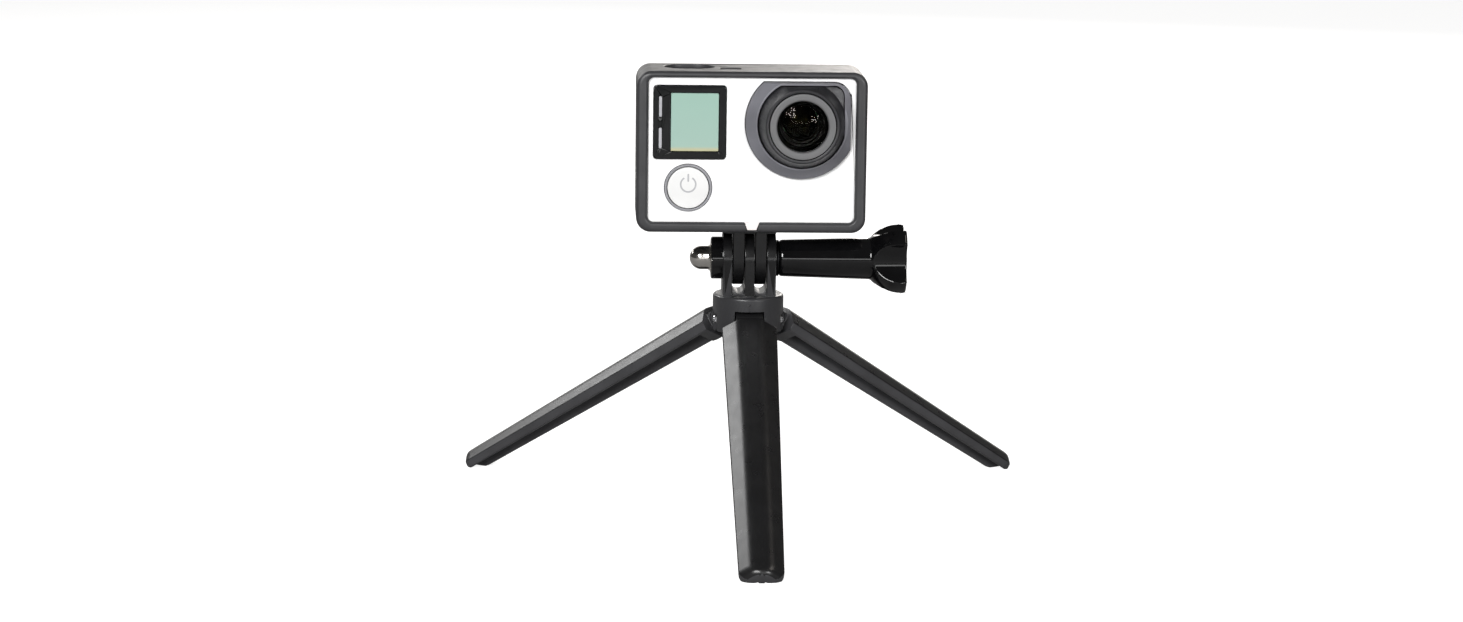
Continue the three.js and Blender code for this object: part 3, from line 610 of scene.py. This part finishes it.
def build_legs():
    """The three legs, in lit and shaded copies of one plastic. Their walls and webs are a lighter, duller
    grey as painted light; their crowns are near-black as painted shade.
    """
    first = leg_piece()
    # Faces turned away from the crown take the lighter copy: painted light chosen by face direction.
    dull = [int(face.normal.y > -0.35) for face in first.data.polygons]
    stance = Matrix.Translation(PIN) @ Matrix.Rotation(math.radians(-LEG["open"]), 4, "X")
    for name, azimuth in (("left", -120), ("right", 120), ("front", 0)):
        leg = first
        if name != "front":
            leg = bpy.data.objects.new("leg", first.data.copy())
            bpy.context.scene.collection.objects.link(leg)
        turn = Matrix.Rotation(math.radians(azimuth), 4, "Z") @ stance
        node = f"leg_{name}"
        leg = place(leg, f"leg_moulding_{name}", node, [node], LEG_PAINTED_SHADE, turn=turn)
        leg.data.materials.append(LEG_PAINTED_LIT)
        leg.data.polygons.foreach_set("material_index", dull)


def build_leg_pins():
    for name, azimuth in (("front", 0), ("right", 120), ("left", -120)):
        end = 5.3 if name == "front" else 6.4
        profile = [(0, 0.25 - end), (0.35, 0.25 - end), (0.5, -end), (0.75, -end), (1, 0.25 - end)]
        profile += [(r, -s) for r, s in reversed(profile)]
        pin = lathe("x", PIN, profile, 40)
        turn = Matrix.Rotation(math.radians(azimuth), 4, "Z")
        place(pin, f"pin_{name}", "stand", [f"leg_pin_{name}"], STEEL, turn=turn)


HEAD = {"radius": 9.9, "top": 59.7, "bottom": 49.5, "slot": 4.05, "window": 55.8, "core": 3.6}
# Each prong's span across, and half the width of its foot.
HEAD_PRONGS = [((-7.35, -4.85), 6.1), ((-1.3, 1.3), 7.4), ((4.85, 7.35), 6.1)]
PRONG_RADIUS = 7.4


def prong_outline(radius, end, foot, steps=40):
    """A prong's side as (y, z): a round end about the hinge on a foot."""
    up = foot > HINGE.z
    start = 180 if up else 0
    sign = 1 if up else -1
    return [*arc(0, HINGE.z, radius, start, start + 180, steps), (sign * end, foot), (-sign * end, foot)]


def build_head():
    radius, top, bottom = HEAD["radius"], HEAD["top"], HEAD["bottom"]
    brim = [(radius - 0.8 + u, top - 0.8 + v) for u, v in arc(0, 0, 0.8, 0, 90, 6)]
    head = lathe("z", (0, 0, 0), [(0, bottom), (radius, bottom), *brim, (0, top)], 144)
    takes = []
    for i in range(3):
        turn = Matrix.Rotation(math.radians(120 * i), 4, "Z")
        slot = block((-HEAD["slot"], HEAD["slot"]), (-12, -HEAD["core"]), (bottom - 1, HEAD["window"]))
        flare_points = [(-3.9, 55.2), (-5.2, 53), (-7.6, 48), (7.6, 48), (5.2, 53), (3.9, 55.2)]
        flare = prism("y", flare_points, -12, 1.2 - radius)
        reach = 12 if i else 5.5
        hole = rod("x", PIN, 1.08, -reach, reach, 32)
        dimple = lathe("y", (0, 0, 57.75), [(0, -9.35), (0.42, -10.1), (0, -10.1)], 24)
        group = [slot, flare, hole, dimple]
        for side in (-1, 1) if i else ():
            recess = arc(PIN.y - 0.75, PIN.z + 1, 0.8, 180, 90, 5)
            recess += arc(PIN.y + 0.75, PIN.z + 1, 0.8, 90, 0, 5)
            recess += [(PIN.y + 1.55, bottom - 1), (PIN.y - 1.55, bottom - 1)]
            group.append(prism("x", recess, *sorted((side * 6.1, side * 12))))
        for piece in group:
            piece.data.transform(turn)
        takes += group
    cut(head, *takes)
    adds = [prism("x", prong_outline(PRONG_RADIUS, end, top - 0.5), *across) for across, end in HEAD_PRONGS]
    for x, side in ((-4.85, 1), (-1.3, -1), (1.3, 1), (4.85, -1)):
        curve = [(x + side * 2.2 - side * u, top + 2.7 - v) for u, v in arc(0, 0, 2.2, 0, 90, 8)]
        inner = x - side * 0.8
        gusset = [(inner, top - 0.5), (inner, top + 2.7), *curve, (x + side * 2.2, top - 0.5)]
        adds.append(prism("y", gusset, -4.6, 4.6))
    adds.append(lathe("x", (0, 0, HINGE.z), [(0, -10.6), (5.6, -10.6), (5.9, -10.3), (5.9, -7), (0, -7)], 96))
    join(head, *adds)
    pocket = lathe("x", (0, 0, HINGE.z), [(0, -12), (4.85, -12), (4.85, -7.45), (0, -7.45)], 6)
    bore = rod("x", (0, 0, HINGE.z), HINGE_BORE, -20, 20, 48)
    cut(head, pocket, bore)
    soften(head, 0.14, 2, angle=65)
    head = place(head, "stand_head", "stand", ["tripod_head"], STAND_GREY)
    # The prongs' upper parts (above z 63.5, the middle prong's above 60.5) take the near-black gloss as
    # painted shade on the same grey moulding, whose lower parts stay grey.
    finish_and_shade_zone(head, PRONG_GLOSS_AND_SHADE, lambda p: p.z > 63.5 or (p.z > 60.5 and abs(p.x) < 4))
    finish_and_shade_zone(head, GLOSS_BLACK, lambda p: p.x < -7.4 and p.z > 62)


def build_cap_nut():
    radius = 3.3
    angles = [math.radians(6 * i) for i in range(16)]
    dome = [(radius * math.sin(a), -13.2 - radius * math.cos(a)) for a in angles]
    profile = [*dome, (radius, -11.5), (3.45, -11.1), (3.9, -10.75), (4.3, -10.6), (0, -10.6)]
    nut = lathe("x", (0, 0, HINGE.z), profile, 96)
    flats = lathe("x", (0, 0, HINGE.z), [(0, -10.8), (4.5, -10.8), (4.6, -10.6), (4.6, -7.75), (0, -7.75)], 6)
    bore = rod("x", (0, 0, HINGE.z), HINGE_BORE, -13.5, 0, 48)
    cut(join(nut, flats), bore)
    place(soften(nut, 0.12, 2), "cap_nut_chromed", "stand", ["cap_nut"], CHROME, sharp=40)


# ---------------------------------------------------------------- thumb screw

KNOB = {"start": 8.45, "neck": 34.0, "end": 43.7, "lobe": 10.35, "scoop": 7.2, "out": 13.6}


def build_knob():
    neck_radius, brim = 5.85, 0.9
    flare = []
    for i in range(17):
        t = i / 16
        r = neck_radius + (KNOB["lobe"] - neck_radius) * (1 - (1 - t) ** 2.4)
        flare.append((r, KNOB["neck"] + t * (KNOB["end"] - brim - KNOB["neck"])))
    shaft = [(4.85, KNOB["start"] + 0.1), (5.1, KNOB["start"] + 0.4), (5.15, KNOB["start"] + 1.1)]
    shaft += [(5.15 + 0.65 * t / 8, 10 + 23 * t / 8) for t in range(1, 9)]
    crown = [(KNOB["lobe"] - brim + u, KNOB["end"] - brim + v) for u, v in arc(0, 0, brim, 10, 90, 6)]
    dish = [(6.2, KNOB["end"]), (5.6, KNOB["end"] - 0.5), (0, KNOB["end"] - 0.6)]
    profile = [(0, KNOB["start"]), (4.6, KNOB["start"]), *shaft, *flare, *crown, *dish]
    knob = lathe("x", (0, 0, HINGE.z), profile, 160)
    scoops = []
    for y, z in ((1, 0), (-1, 0), (0, 1), (0, -1)):
        at = (0, y * KNOB["out"], HINGE.z + z * KNOB["out"])
        scoops.append(rod("x", at, KNOB["scoop"], KNOB["neck"] - 2, KNOB["end"] + 2, 160))
    socket = rod("x", (0, 0, HINGE.z), HINGE_BORE, KNOB["start"] - 1, 22.3, 48)
    cut(knob, *scoops, socket)
    soften(knob, 0.4, 4, angle=30)
    place(knob, "thumb_knob_moulding", "thumb_screw", ["thumb_knob"], GLOSS_BLACK)


def build_screw():
    """Screw with its thread cut as a true helix."""
    pitch, core, crest, sides = 0.8, 2.05, 2.45, 36
    low, high = -12.5, 22.0
    turns = (high - low) / pitch
    rows = int(turns * 8)
    vertices, faces = [(low, 0, 0)], []
    for row in range(rows + 1):
        for i in range(sides):
            station = low + (high - low) * row / rows
            phase = (station / pitch + i / sides) % 1
            depth = abs(phase * 2 - 1)
            taper = min(1, max(0, (station - low) / 0.9))
            radius = core + (crest - core) * min(1, depth * 1.4) * taper - 0.25 * (1 - taper)
            a = 2 * math.pi * i / sides
            vertices.append((station, radius * math.cos(a), radius * math.sin(a)))
    vertices.append((high, 0, 0))
    for i in range(sides):
        j = (i + 1) % sides
        faces.append((0, 1 + j, 1 + i))
        faces.append((len(vertices) - 1, 1 + rows * sides + i, 1 + rows * sides + j))
        for row in range(rows):
            a, b = 1 + row * sides, 1 + (row + 1) * sides
            faces.append((a + i, a + j, b + j, b + i))
    screw = made([Vector(v) + Vector((0, 0, HINGE.z)) for v in vertices], faces)
    place(screw, "clamp_screw_threaded", "thumb_screw", ["clamp_screw"], STEEL, sharp=50)


def build_washer():
    low, high = span("clamp_washer")
    r = (high.z - low.z) / 2
    edge = [(r - 0.2, low.x), (r, low.x + 0.15), (r, high.x - 0.15), (r - 0.2, high.x)]
    profile = [(HINGE_BORE, low.x), *edge, (HINGE_BORE, high.x)]
    washer = lathe("x", (0, 0, HINGE.z), profile, 72, closed=True)
    place(washer, "clamp_washer_ring", "washer", ["clamp_washer"], BLACK_OXIDE)


# ---------------------------------------------------------------- frame

LEVER = {"y": (4, 10.6), "z": (93, 114), "pin_x": 30.75, "pin_z": 95.2}
PORT_AT = (3, 105.5)


def build_frame():
    x, z = FRAME_HIGH.x, (78.1, FRAME_HIGH.z)
    front, back = FRAME_LOW.y, FRAME_HIGH.y
    band = prism("y", spanned((-x, x), z, 4, 12), front, back)
    soften(band, 1.15, 6, tidy=False)
    takes = [
        prism("y", spanned((-29.8, 29.8), (79.5, 121.4), 2.8), front + 1.3, back + 1),
        loft("y", [
            (spanned((-29.2, 29.2), (80.3, 121.6), 2.2), front - 0.1),
            (spanned((-28.5, 28.5), (81, 120.9), 1.6), front + 0.75),
            (spanned((-28.5, 28.5), (81, 120.9), 1.6), front + 2),
        ]),
        prism("z", rounded(SHUTTER.x, SHUTTER.y, 14, 11.4, 5.6, 16), 119, 124),
        prism("z", rounded(-5.7, -1.3, 5.8, 4.6, 1), 119, 124),
        prism("x", rounded(*PORT_AT, 14, 28, 2.5), -40, -28.8),
        rod("x", (0, SETTINGS.y, SETTINGS.z), 3.8, 28.8, 40),
        block((28.8, 40), grown(LEVER["y"], 0.3), grown(LEVER["z"], 0.3)),
        rod("x", (0, 7.3, LEVER["z"][1] + 1), 2.6, 30.9, 40),
        rod("y", (LEVER["pin_x"], 0, LEVER["pin_z"]), 0.6, 2.5, 14, 24),
        prism("y", [(-2, 82), (-1.1, 78.6), (1.7, 78.6), (2.6, 82)], front - 1, front + 1.4),
    ]
    cut(band, *takes)
    pad = prism("z", rounded(0, 0, 14.6, 14, 1), 77.4, 78.6)
    prongs = [
        prism("x", prong_outline(PRONG_RADIUS, PRONG_RADIUS, 78.6), *sorted((side * 1.55, side * 4.6)))
        for side in (-1, 1)
    ]
    join(band, pad, *prongs)
    cut(band, rod("x", (0, 0, HINGE.z), HINGE_BORE, -20, 20, 48))
    band = place(soften(band, 0.3, 3), "frame_moulding", "frame", ["mount_frame"], SATIN_BLACK)
    finish_and_shade_zone(band, PRONG_GLOSS_AND_SHADE, lambda p: p.z < 77.6)


def build_notch_insert():
    """Pale insert in the notch of the frame's lower bar."""
    outline = filleted([(-1.75, 81.0), (-0.95, 78.85), (1.55, 78.85), (2.35, 81.0)], [0.2] * 4)
    insert = prism("y", outline, FACE - 1.15, FACE - 0.12)
    place(soften(insert, 0.12, 2), "notch_insert", "frame", [], PALE_INSERT)


def build_lever():
    low, high = FRAME_HIGH.x - 1.5, FRAME_HIGH.x - 0.1
    plate = block((low, high), LEVER["y"], (LEVER["pin_z"], LEVER["z"][1]))
    hub = rod("y", (LEVER["pin_x"], 0, LEVER["pin_z"]), 0.95, *LEVER["y"], 40)
    grip = rod("x", (0, 7.3, LEVER["z"][1] + 1), 2.6, low + 0.7, high + 1)
    ribs = [block((high - 0.15, high + 1), (5, 9.6), (z, z + 0.5)) for z in (103, 104.2, 105.4, 106.6)]
    bore = rod("y", (LEVER["pin_x"], 0, LEVER["pin_z"]), 0.55, 0, 14, 24)
    cut(join(plate, hub), grip, bore, *ribs)
    place(soften(plate, 0.15, 2), "lever_moulding", "lever", ["frame_lever"], SATIN_BLACK)


# ---------------------------------------------------------------- camera shell


def case_outline(inset, radius, steps=10):
    across = grown((CASE_LOW.x, CASE_HIGH.x), -inset)
    up = grown((CASE_LOW.z, CASE_HIGH.z), -inset)
    return spanned(across, up, radius, steps)


def panel_outline(gap, radius):
    return rounded(PANEL.x, PANEL.z, 19.8 + 2 * gap, 20.2 + 2 * gap, radius)


SCREEN_AT = (-2, 100.7)
BEZEL = {"outer": 15.3, "top": 11.3, "side": 13.5, "corner": 4.8}


def bezel_outline(grow, steps=72):
    radius, top, side = (BEZEL[key] + grow for key in ("outer", "top", "side"))
    return lens_outline(radius, top, side, BEZEL["corner"], steps)


def build_cover():
    plate = prism("y", case_outline(0, 2.6), FACE, COVER_BACK)
    cut(
        plate,
        prism("y", bezel_outline(0.2), FACE - 1, COVER_BACK + 1),
        prism("y", panel_outline(0.2, 1.1), FACE - 1, COVER_BACK + 1),
        rod("y", (MODE.x, 0, MODE.z), 6.65, FACE - 1, COVER_BACK + 1, 96),
    )
    soften(plate, 0.18, 3, tidy=False)
    place(plate, "front_cover_plate", "camera", ["front_cover"], FACE_WHITE)


def build_case():
    body = prism("y", case_outline(0, 2.6), CASE_LOW.y, CASE_HIGH.y)
    soften(body, 1.0, 5, tidy=False)
    takes = [
        prism("y", rounded(*SCREEN_AT, 45, 31, 2), CASE_HIGH.y - 1.2, CASE_HIGH.y + 1),
        rod("z", (SHUTTER.x, SHUTTER.y, 0), 5.3, CASE_HIGH.z - 3, CASE_HIGH.z + 1, 72),
        prism("x", rounded(*PORT_AT, 10, 23, 1.5), CASE_LOW.x - 1, CASE_LOW.x + 3),
        rod("x", (0, SETTINGS.y, SETTINGS.z), 2.4, CASE_HIGH.x - 3, CASE_HIGH.x + 1, 48),
        block((-24.3, 5), (-1.8, 7.8), (CASE_LOW.z - 1, CASE_LOW.z + 3)),
        prism("y", case_outline(1.5, 1.2, 6), CASE_LOW.y - 1, 10.2),
    ]
    cut(body, *takes)
    place(soften(body, 0.2, 2), "rear_case_moulding", "camera", ["rear_case"], CASE_GREY)


def build_rear_screen():
    glass = prism("y", rounded(*SCREEN_AT, 44.5, 30.5, 1.8, 10), CASE_HIGH.y - 0.95, CASE_HIGH.y - 0.05)
    place(soften(glass, 0.15, 3), "rear_screen_glass", "camera", ["rear_screen"], PANEL_BLACK)


def build_port_door():
    door = prism("x", rounded(*PORT_AT, 9.5, 22.5, 1.3, 8), PORT_LOW.x, PORT_HIGH.x)
    nail = rod("z", (PORT_LOW.x - 0.55, 6.1, 0), 1, 101.5, 109.5, 40)
    cut(door, nail)
    place(soften(door, 0.25, 3), "port_door_moulding", "port_door", ["port_door"], CASE_GREY)


# ---------------------------------------------------------------- lens


def ahead(distance):
    return FACE - distance


def shallow_dome(bulge, reach, steps):
    """A dome of that radius from its tip out to its reach, as (radius, sag) pairs."""
    limit = math.asin(reach / bulge)
    angles = [limit * i / steps for i in range(steps + 1)]
    return [(bulge * math.sin(a), bulge * (1 - math.cos(a))) for a in angles]


LENS_AT = (LENS.x, 0, LENS.z)


def build_bezel():
    solid = prism("y", bezel_outline(0, 96), ahead(4.2), COVER_BACK + 0.1)
    lip = [(12.5 + u, ahead(3.6) + 0.35 - v) for u, v in arc(0, 0, 0.35, 90, 40, 4)]
    cone = lathe("y", LENS_AT, [(0, ahead(3.6)), *lip, (15.95, ahead(0.75)), (15.95, 0), (0, 0)], 160)
    bore = prism("y", lens_outline(12.2, 10.7, 11.7, 3), ahead(8), COVER_BACK + 1)
    cut(common(solid, cone), bore)
    place(soften(solid, 0.14, 2), "lens_bezel_moulding", "camera", ["lens_bezel"], BEZEL_GREY)


def build_shroud():
    solid = prism("y", lens_outline(11.9, 10.45, 11.45, 2.75), ahead(9), COVER_BACK)
    rim = [(9.9, ahead(8.4)), (10.15, ahead(8.25)), (10.3, ahead(8.0))]
    flange = [(12.1, ahead(3.1)), (15.6, ahead(2.6)), (15.6, 0), (0, 0)]
    cone = lathe("y", LENS_AT, [(0, ahead(8.4)), *rim, *flange], 160)
    bore = lathe("y", LENS_AT, [(0, ahead(12)), (9.3, ahead(12)), (9.3, 0), (0, 0)], 128)
    cut(common(solid, cone), bore)
    soften(solid, 0.14, 2)
    place(solid, "lens_shroud_moulding", "camera", ["lens_shroud"], SHROUD_GREY)


def build_lens_ring():
    profile = [(7.1, ahead(6)), (9.05, ahead(6)), (9.05, ahead(8.55))]
    profile += [(8.8 + u, ahead(8.55) - v) for u, v in arc(0, 0, 0.25, 0, 90, 4)][1:]
    profile += [(7.4, ahead(8.66)), (7.1, ahead(8.35))]
    ring = lathe("y", LENS_AT, profile, 160, closed=True)
    place(ring, "lens_retaining_ring", "camera", ["lens_ring"], RING_GREY)


def build_lens_glass():
    reach, seat = 6.8, ahead(5.3)
    front = [(r, ahead(8.55) + sag) for r, sag in shallow_dome(15, reach, 24)]
    back = [(r, min(ahead(6.4) + sag, seat)) for r, sag in shallow_dome(13, reach, 16)]
    profile = [*front, *reversed(back)]
    glass = lathe("y", LENS_AT, profile, 128)
    place(glass, "front_lens_glass", "camera", ["front_lens"], FRONT_GLASS, sharp=40)


def build_barrel():
    steps = [(7.0, -12.9), (6.7, -12.4), (6.3, -12.0), (5.9, -11.2), (5.9, -10.6)]
    steps += [(5.4, -10.3), (5.4, -9.2), (4.9, -8.9), (4.9, -7.4)]
    profile = [(8.9, ahead(5.3)), (7.1, ahead(5.3)), *steps, (4.9, -3.6), (8.9, -3.6)]
    barrel = lathe("y", LENS_AT, profile, 96, closed=True)
    place(barrel, "lens_barrel_baffle", "camera", ["lens_barrel"], BAFFLE_BLACK)


def build_inner_lens():
    reach = 4.7
    dome = [(r, sag - 7.9) for r, sag in shallow_dome(8, reach, 16)]
    inner = lathe("y", LENS_AT, [*dome, (reach, -4.0), (0, -4.0)], 96)
    place(inner, "inner_lens_element", "camera", ["rear_lens"], INNER_GLASS, sharp=40)


# ---------------------------------------------------------------- controls


LIGHT_X = -25.2
LIGHT_ROWS = {"upper_light": 112.8, "lower_light": 104.1}


def build_display():
    plate = prism("y", panel_outline(0, 1.0), FACE - 0.25, FACE + 1.1)
    hole = prism("y", rounded(LCD.x, LCD.z, 13.4, 16.3, 0.4), FACE - 1, FACE + 2)
    slots = [prism("y", rounded(LIGHT_X, z, 1.0, 5.9, 0.45), FACE - 1, FACE + 2) for z in LIGHT_ROWS.values()]
    cut(plate, hole, *slots)
    soften(plate, 0.14, 3)
    place(plate, "display_window_plate", "camera", ["display_window"], PANEL_BLACK)
    screen = prism("y", rounded(LCD.x, LCD.z, 13.1, 16.0, 0.3), FACE + 0.05, FACE + 2.6)
    soften(screen, 0.08, 2)
    place(screen, "status_display_glass", "camera", ["status_display"], LCD_GREEN)
    for name, z in LIGHT_ROWS.items():
        pipe = prism("y", rounded(LIGHT_X, z, 0.82, 5.72, 0.38), FACE - 0.12, FACE + 2.4)
        place(soften(pipe, 0.1, 3), f"{name}_pipe", "camera", [name], LIGHT_PIPE)


def build_mode_button():
    edge = [(5.45 + u, FACE - 0.25 - v) for u, v in arc(0, 0, 0.25, 90, 0, 5)]
    crown = [(5.45 * i / 10, FACE - 0.55 + 0.05 * (i / 10) ** 2) for i in range(10)]
    cap = lathe("y", (MODE.x, 0, MODE.z), [*crown, *edge, (5.7, FACE + 1.2), (0, FACE + 1.2)], 128)
    place(cap, "mode_button_cap", "mode_button", ["mode_button"], BUTTON_WHITE, sharp=40)
    lip = [(6.5, FACE - 0.1), (6.43, FACE - 0.18), (6.27, FACE - 0.18), (6.2, FACE + 0.05)]
    profile = [(5.95, FACE + 1.5), (6.5, FACE + 1.5), *lip, (5.95, FACE + 0.05)]
    rim = lathe("y", (MODE.x, 0, MODE.z), profile, 128, closed=True)
    place(rim, "mode_button_rim", "camera", ["mode_button_ring"], BUTTON_RIM)


def build_power_mark():
    """Generic power mark, inlaid in the mode button: an open ring with a bar in its gap."""
    x, z = MODE.x, MODE.z + 1.0
    outer = arc(x, z, 2.3, 58, -238, 48)
    inner = arc(x, z, 1.85, -238, 58, 48)
    ring = prism("y", outer + inner, FACE - 0.575, FACE - 0.3)
    bar = prism("y", rounded(x, z + 1.85, 0.46, 2.2, 0.2, 4), FACE - 0.575, FACE - 0.3)
    place(ring, "power_mark_ring", "mode_button", [], POWER_INK)
    place(bar, "power_mark_bar", "mode_button", [], POWER_INK)


def build_buttons():
    low, high = span("shutter_button")
    dish = [(4.0 * (1 - i / 10), high.z - 0.12 * (1 - ((1 - i / 10)) ** 2) - 0.02) for i in range(11)]
    rim = [(4.6 + u, high.z - 0.4 + v) for u, v in arc(0, 0, 0.4, 0, 90, 5)]
    cap = lathe("z", (SHUTTER.x, SHUTTER.y, 0), [(0, low.z), (5, low.z), *rim, *dish], 96)
    place(cap, "shutter_button_cap", "shutter_button", ["shutter_button"], CASE_GREY, sharp=40)
    low, high = span("settings_button")
    rim = [(1.85 + u, high.x - 0.25 + v) for u, v in arc(0, 0, 0.25, 0, 90, 5)]
    profile = [(0, low.x), (2.1, low.x), *rim, (1.2, high.x), (0, high.x - 0.08)]
    cap = lathe("x", (0, SETTINGS.y, SETTINGS.z), profile, 64)
    body = "settings_button"
    place(cap, "settings_button_cap", body, [body], BEZEL_GREY, sharp=40)


# ---------------------------------------------------------------- CAD nodes that stay


def dress_cad_nodes():
    looks = {
        "steel": STEEL, "chrome": CHROME, "case_grey": CASE_GREY, "panel_glass": PANEL_BLACK,
        "board_green": BOARD_GREEN, "battery_grey": BATTERY_GREY, "matte_black": BAFFLE_BLACK,
        "face_white": FACE_WHITE, "bezel_grey": BEZEL_GREY, "shroud_grey": SHROUD_GREY,
        "ring_grey": RING_GREY, "lens_glass": INNER_GLASS, "lcd_green": LCD_GREEN,
        "light_pipe": LIGHT_PIPE, "gloss_black": GLOSS_BLACK, "stand_grey": STAND_GREY,
    }
    slots = {part["node"]: part["material_slot"] for part in frame["record"]["subparts"]}
    for name, node in frame["nodes"].items():
        for slot in node.material_slots:
            slot.material = looks[slots[name]]


# ---------------------------------------------------------------- studio


def add_area(name, at, towards, width, height, watts, color=(1, 1, 1)):
    data = bpy.data.lights.new(name, "AREA")
    data.shape, data.size, data.size_y = "RECTANGLE", width, height
    data.energy, data.color = watts, color
    light = bpy.data.objects.new(name, data)
    bpy.context.scene.collection.objects.link(light)
    light.location = at
    light.rotation_euler = (Vector(towards) - Vector(at)).to_track_quat("-Z", "Y").to_euler()


def add_lights():
    aim = (0, AXIS_Y * MM, 0.07)
    add_area("left_softbox", (-0.72, 0.64, 0.66), aim, 0.5, 0.5, 5.2)
    add_area("key_light", (-0.4, -0.95, 0.55), aim, 0.4, 0.4, 12)
    add_area("front_fill", (0.6, -1.05, 0.3), aim, 0.3, 0.3, 5)
    add_area("front_strip", (-0.04, -1.15, 0.16), aim, 0.9, 0.12, 1.0)
    add_area("top_panel", (0.75, -0.05, 0.9), aim, 0.5, 0.3, 1.4, (1, 0.93, 0.86))
    add_area("rear_fill", (0.35, 1.3, 0.55), aim, 0.5, 0.4, 4, (1, 0.95, 0.9))


def add_floor():
    """White paper, bright to the eye, that throws little light back at the object."""
    floor = made([(-4, -4, 0), (4, -4, 0), (4, 4, 0), (-4, 4, 0)], [(0, 1, 2, 3)])
    floor.name = "floor"
    n = Nodes("floor_paper", (0.6, 0.6, 0.6), 0.9, specular=0.1)
    n.set("Emission Color", (1, 1, 1, 1))
    path = n.add("ShaderNodeLightPath")
    seen = n.ramp(path.outputs["Is Camera Ray"], 0, 1, 0.35, 1)
    n.link(n.tint(seen, (0.02, 0.02, 0.02), (0.6, 0.6, 0.6)), n.shader.inputs["Base Color"])
    n.link(n.ramp(path.outputs["Is Camera Ray"], 0, 1, 0.06, 0.85), n.shader.inputs["Emission Strength"])
    floor.data.materials.append(n.material)


def add_world():
    """A dark room with a bright paper wall far behind the object."""
    world = bpy.data.worlds.new("studio")
    bpy.context.scene.world = world
    world.use_nodes = True
    tree = world.node_tree
    coordinate = tree.nodes.new("ShaderNodeTexCoord")
    split = tree.nodes.new("ShaderNodeSeparateXYZ")
    tree.links.new(coordinate.outputs["Generated"], split.inputs["Vector"])
    wall = tree.nodes.new("ShaderNodeMapRange")
    wall.interpolation_type = "SMOOTHSTEP"
    for socket, value in zip(("From Min", "From Max", "To Min", "To Max"), (0.8, 0.95, 0.06, 1.0)):
        wall.inputs[socket].default_value = value
    tree.links.new(split.outputs["Y"], wall.inputs["Value"])
    background = tree.nodes["Background"]
    background.inputs["Color"].default_value = (1, 0.985, 0.96, 1)
    tree.links.new(wall.outputs["Result"], background.inputs["Strength"])


# ---------------------------------------------------------------- everything

build_legs()
build_leg_pins()
build_head()
build_cap_nut()
build_knob()
build_screw()
build_washer()
build_frame()
build_notch_insert()
build_lever()
build_cover()
build_case()
build_rear_screen()
build_port_door()
build_bezel()
build_shroud()
build_lens_ring()
build_lens_glass()
build_barrel()
build_inner_lens()
build_display()
build_mode_button()
build_power_mark()
build_buttons()
dress_cad_nodes()

add_lights()
add_floor()
add_world()
bpy.context.scene.view_settings.view_transform = "Standard"
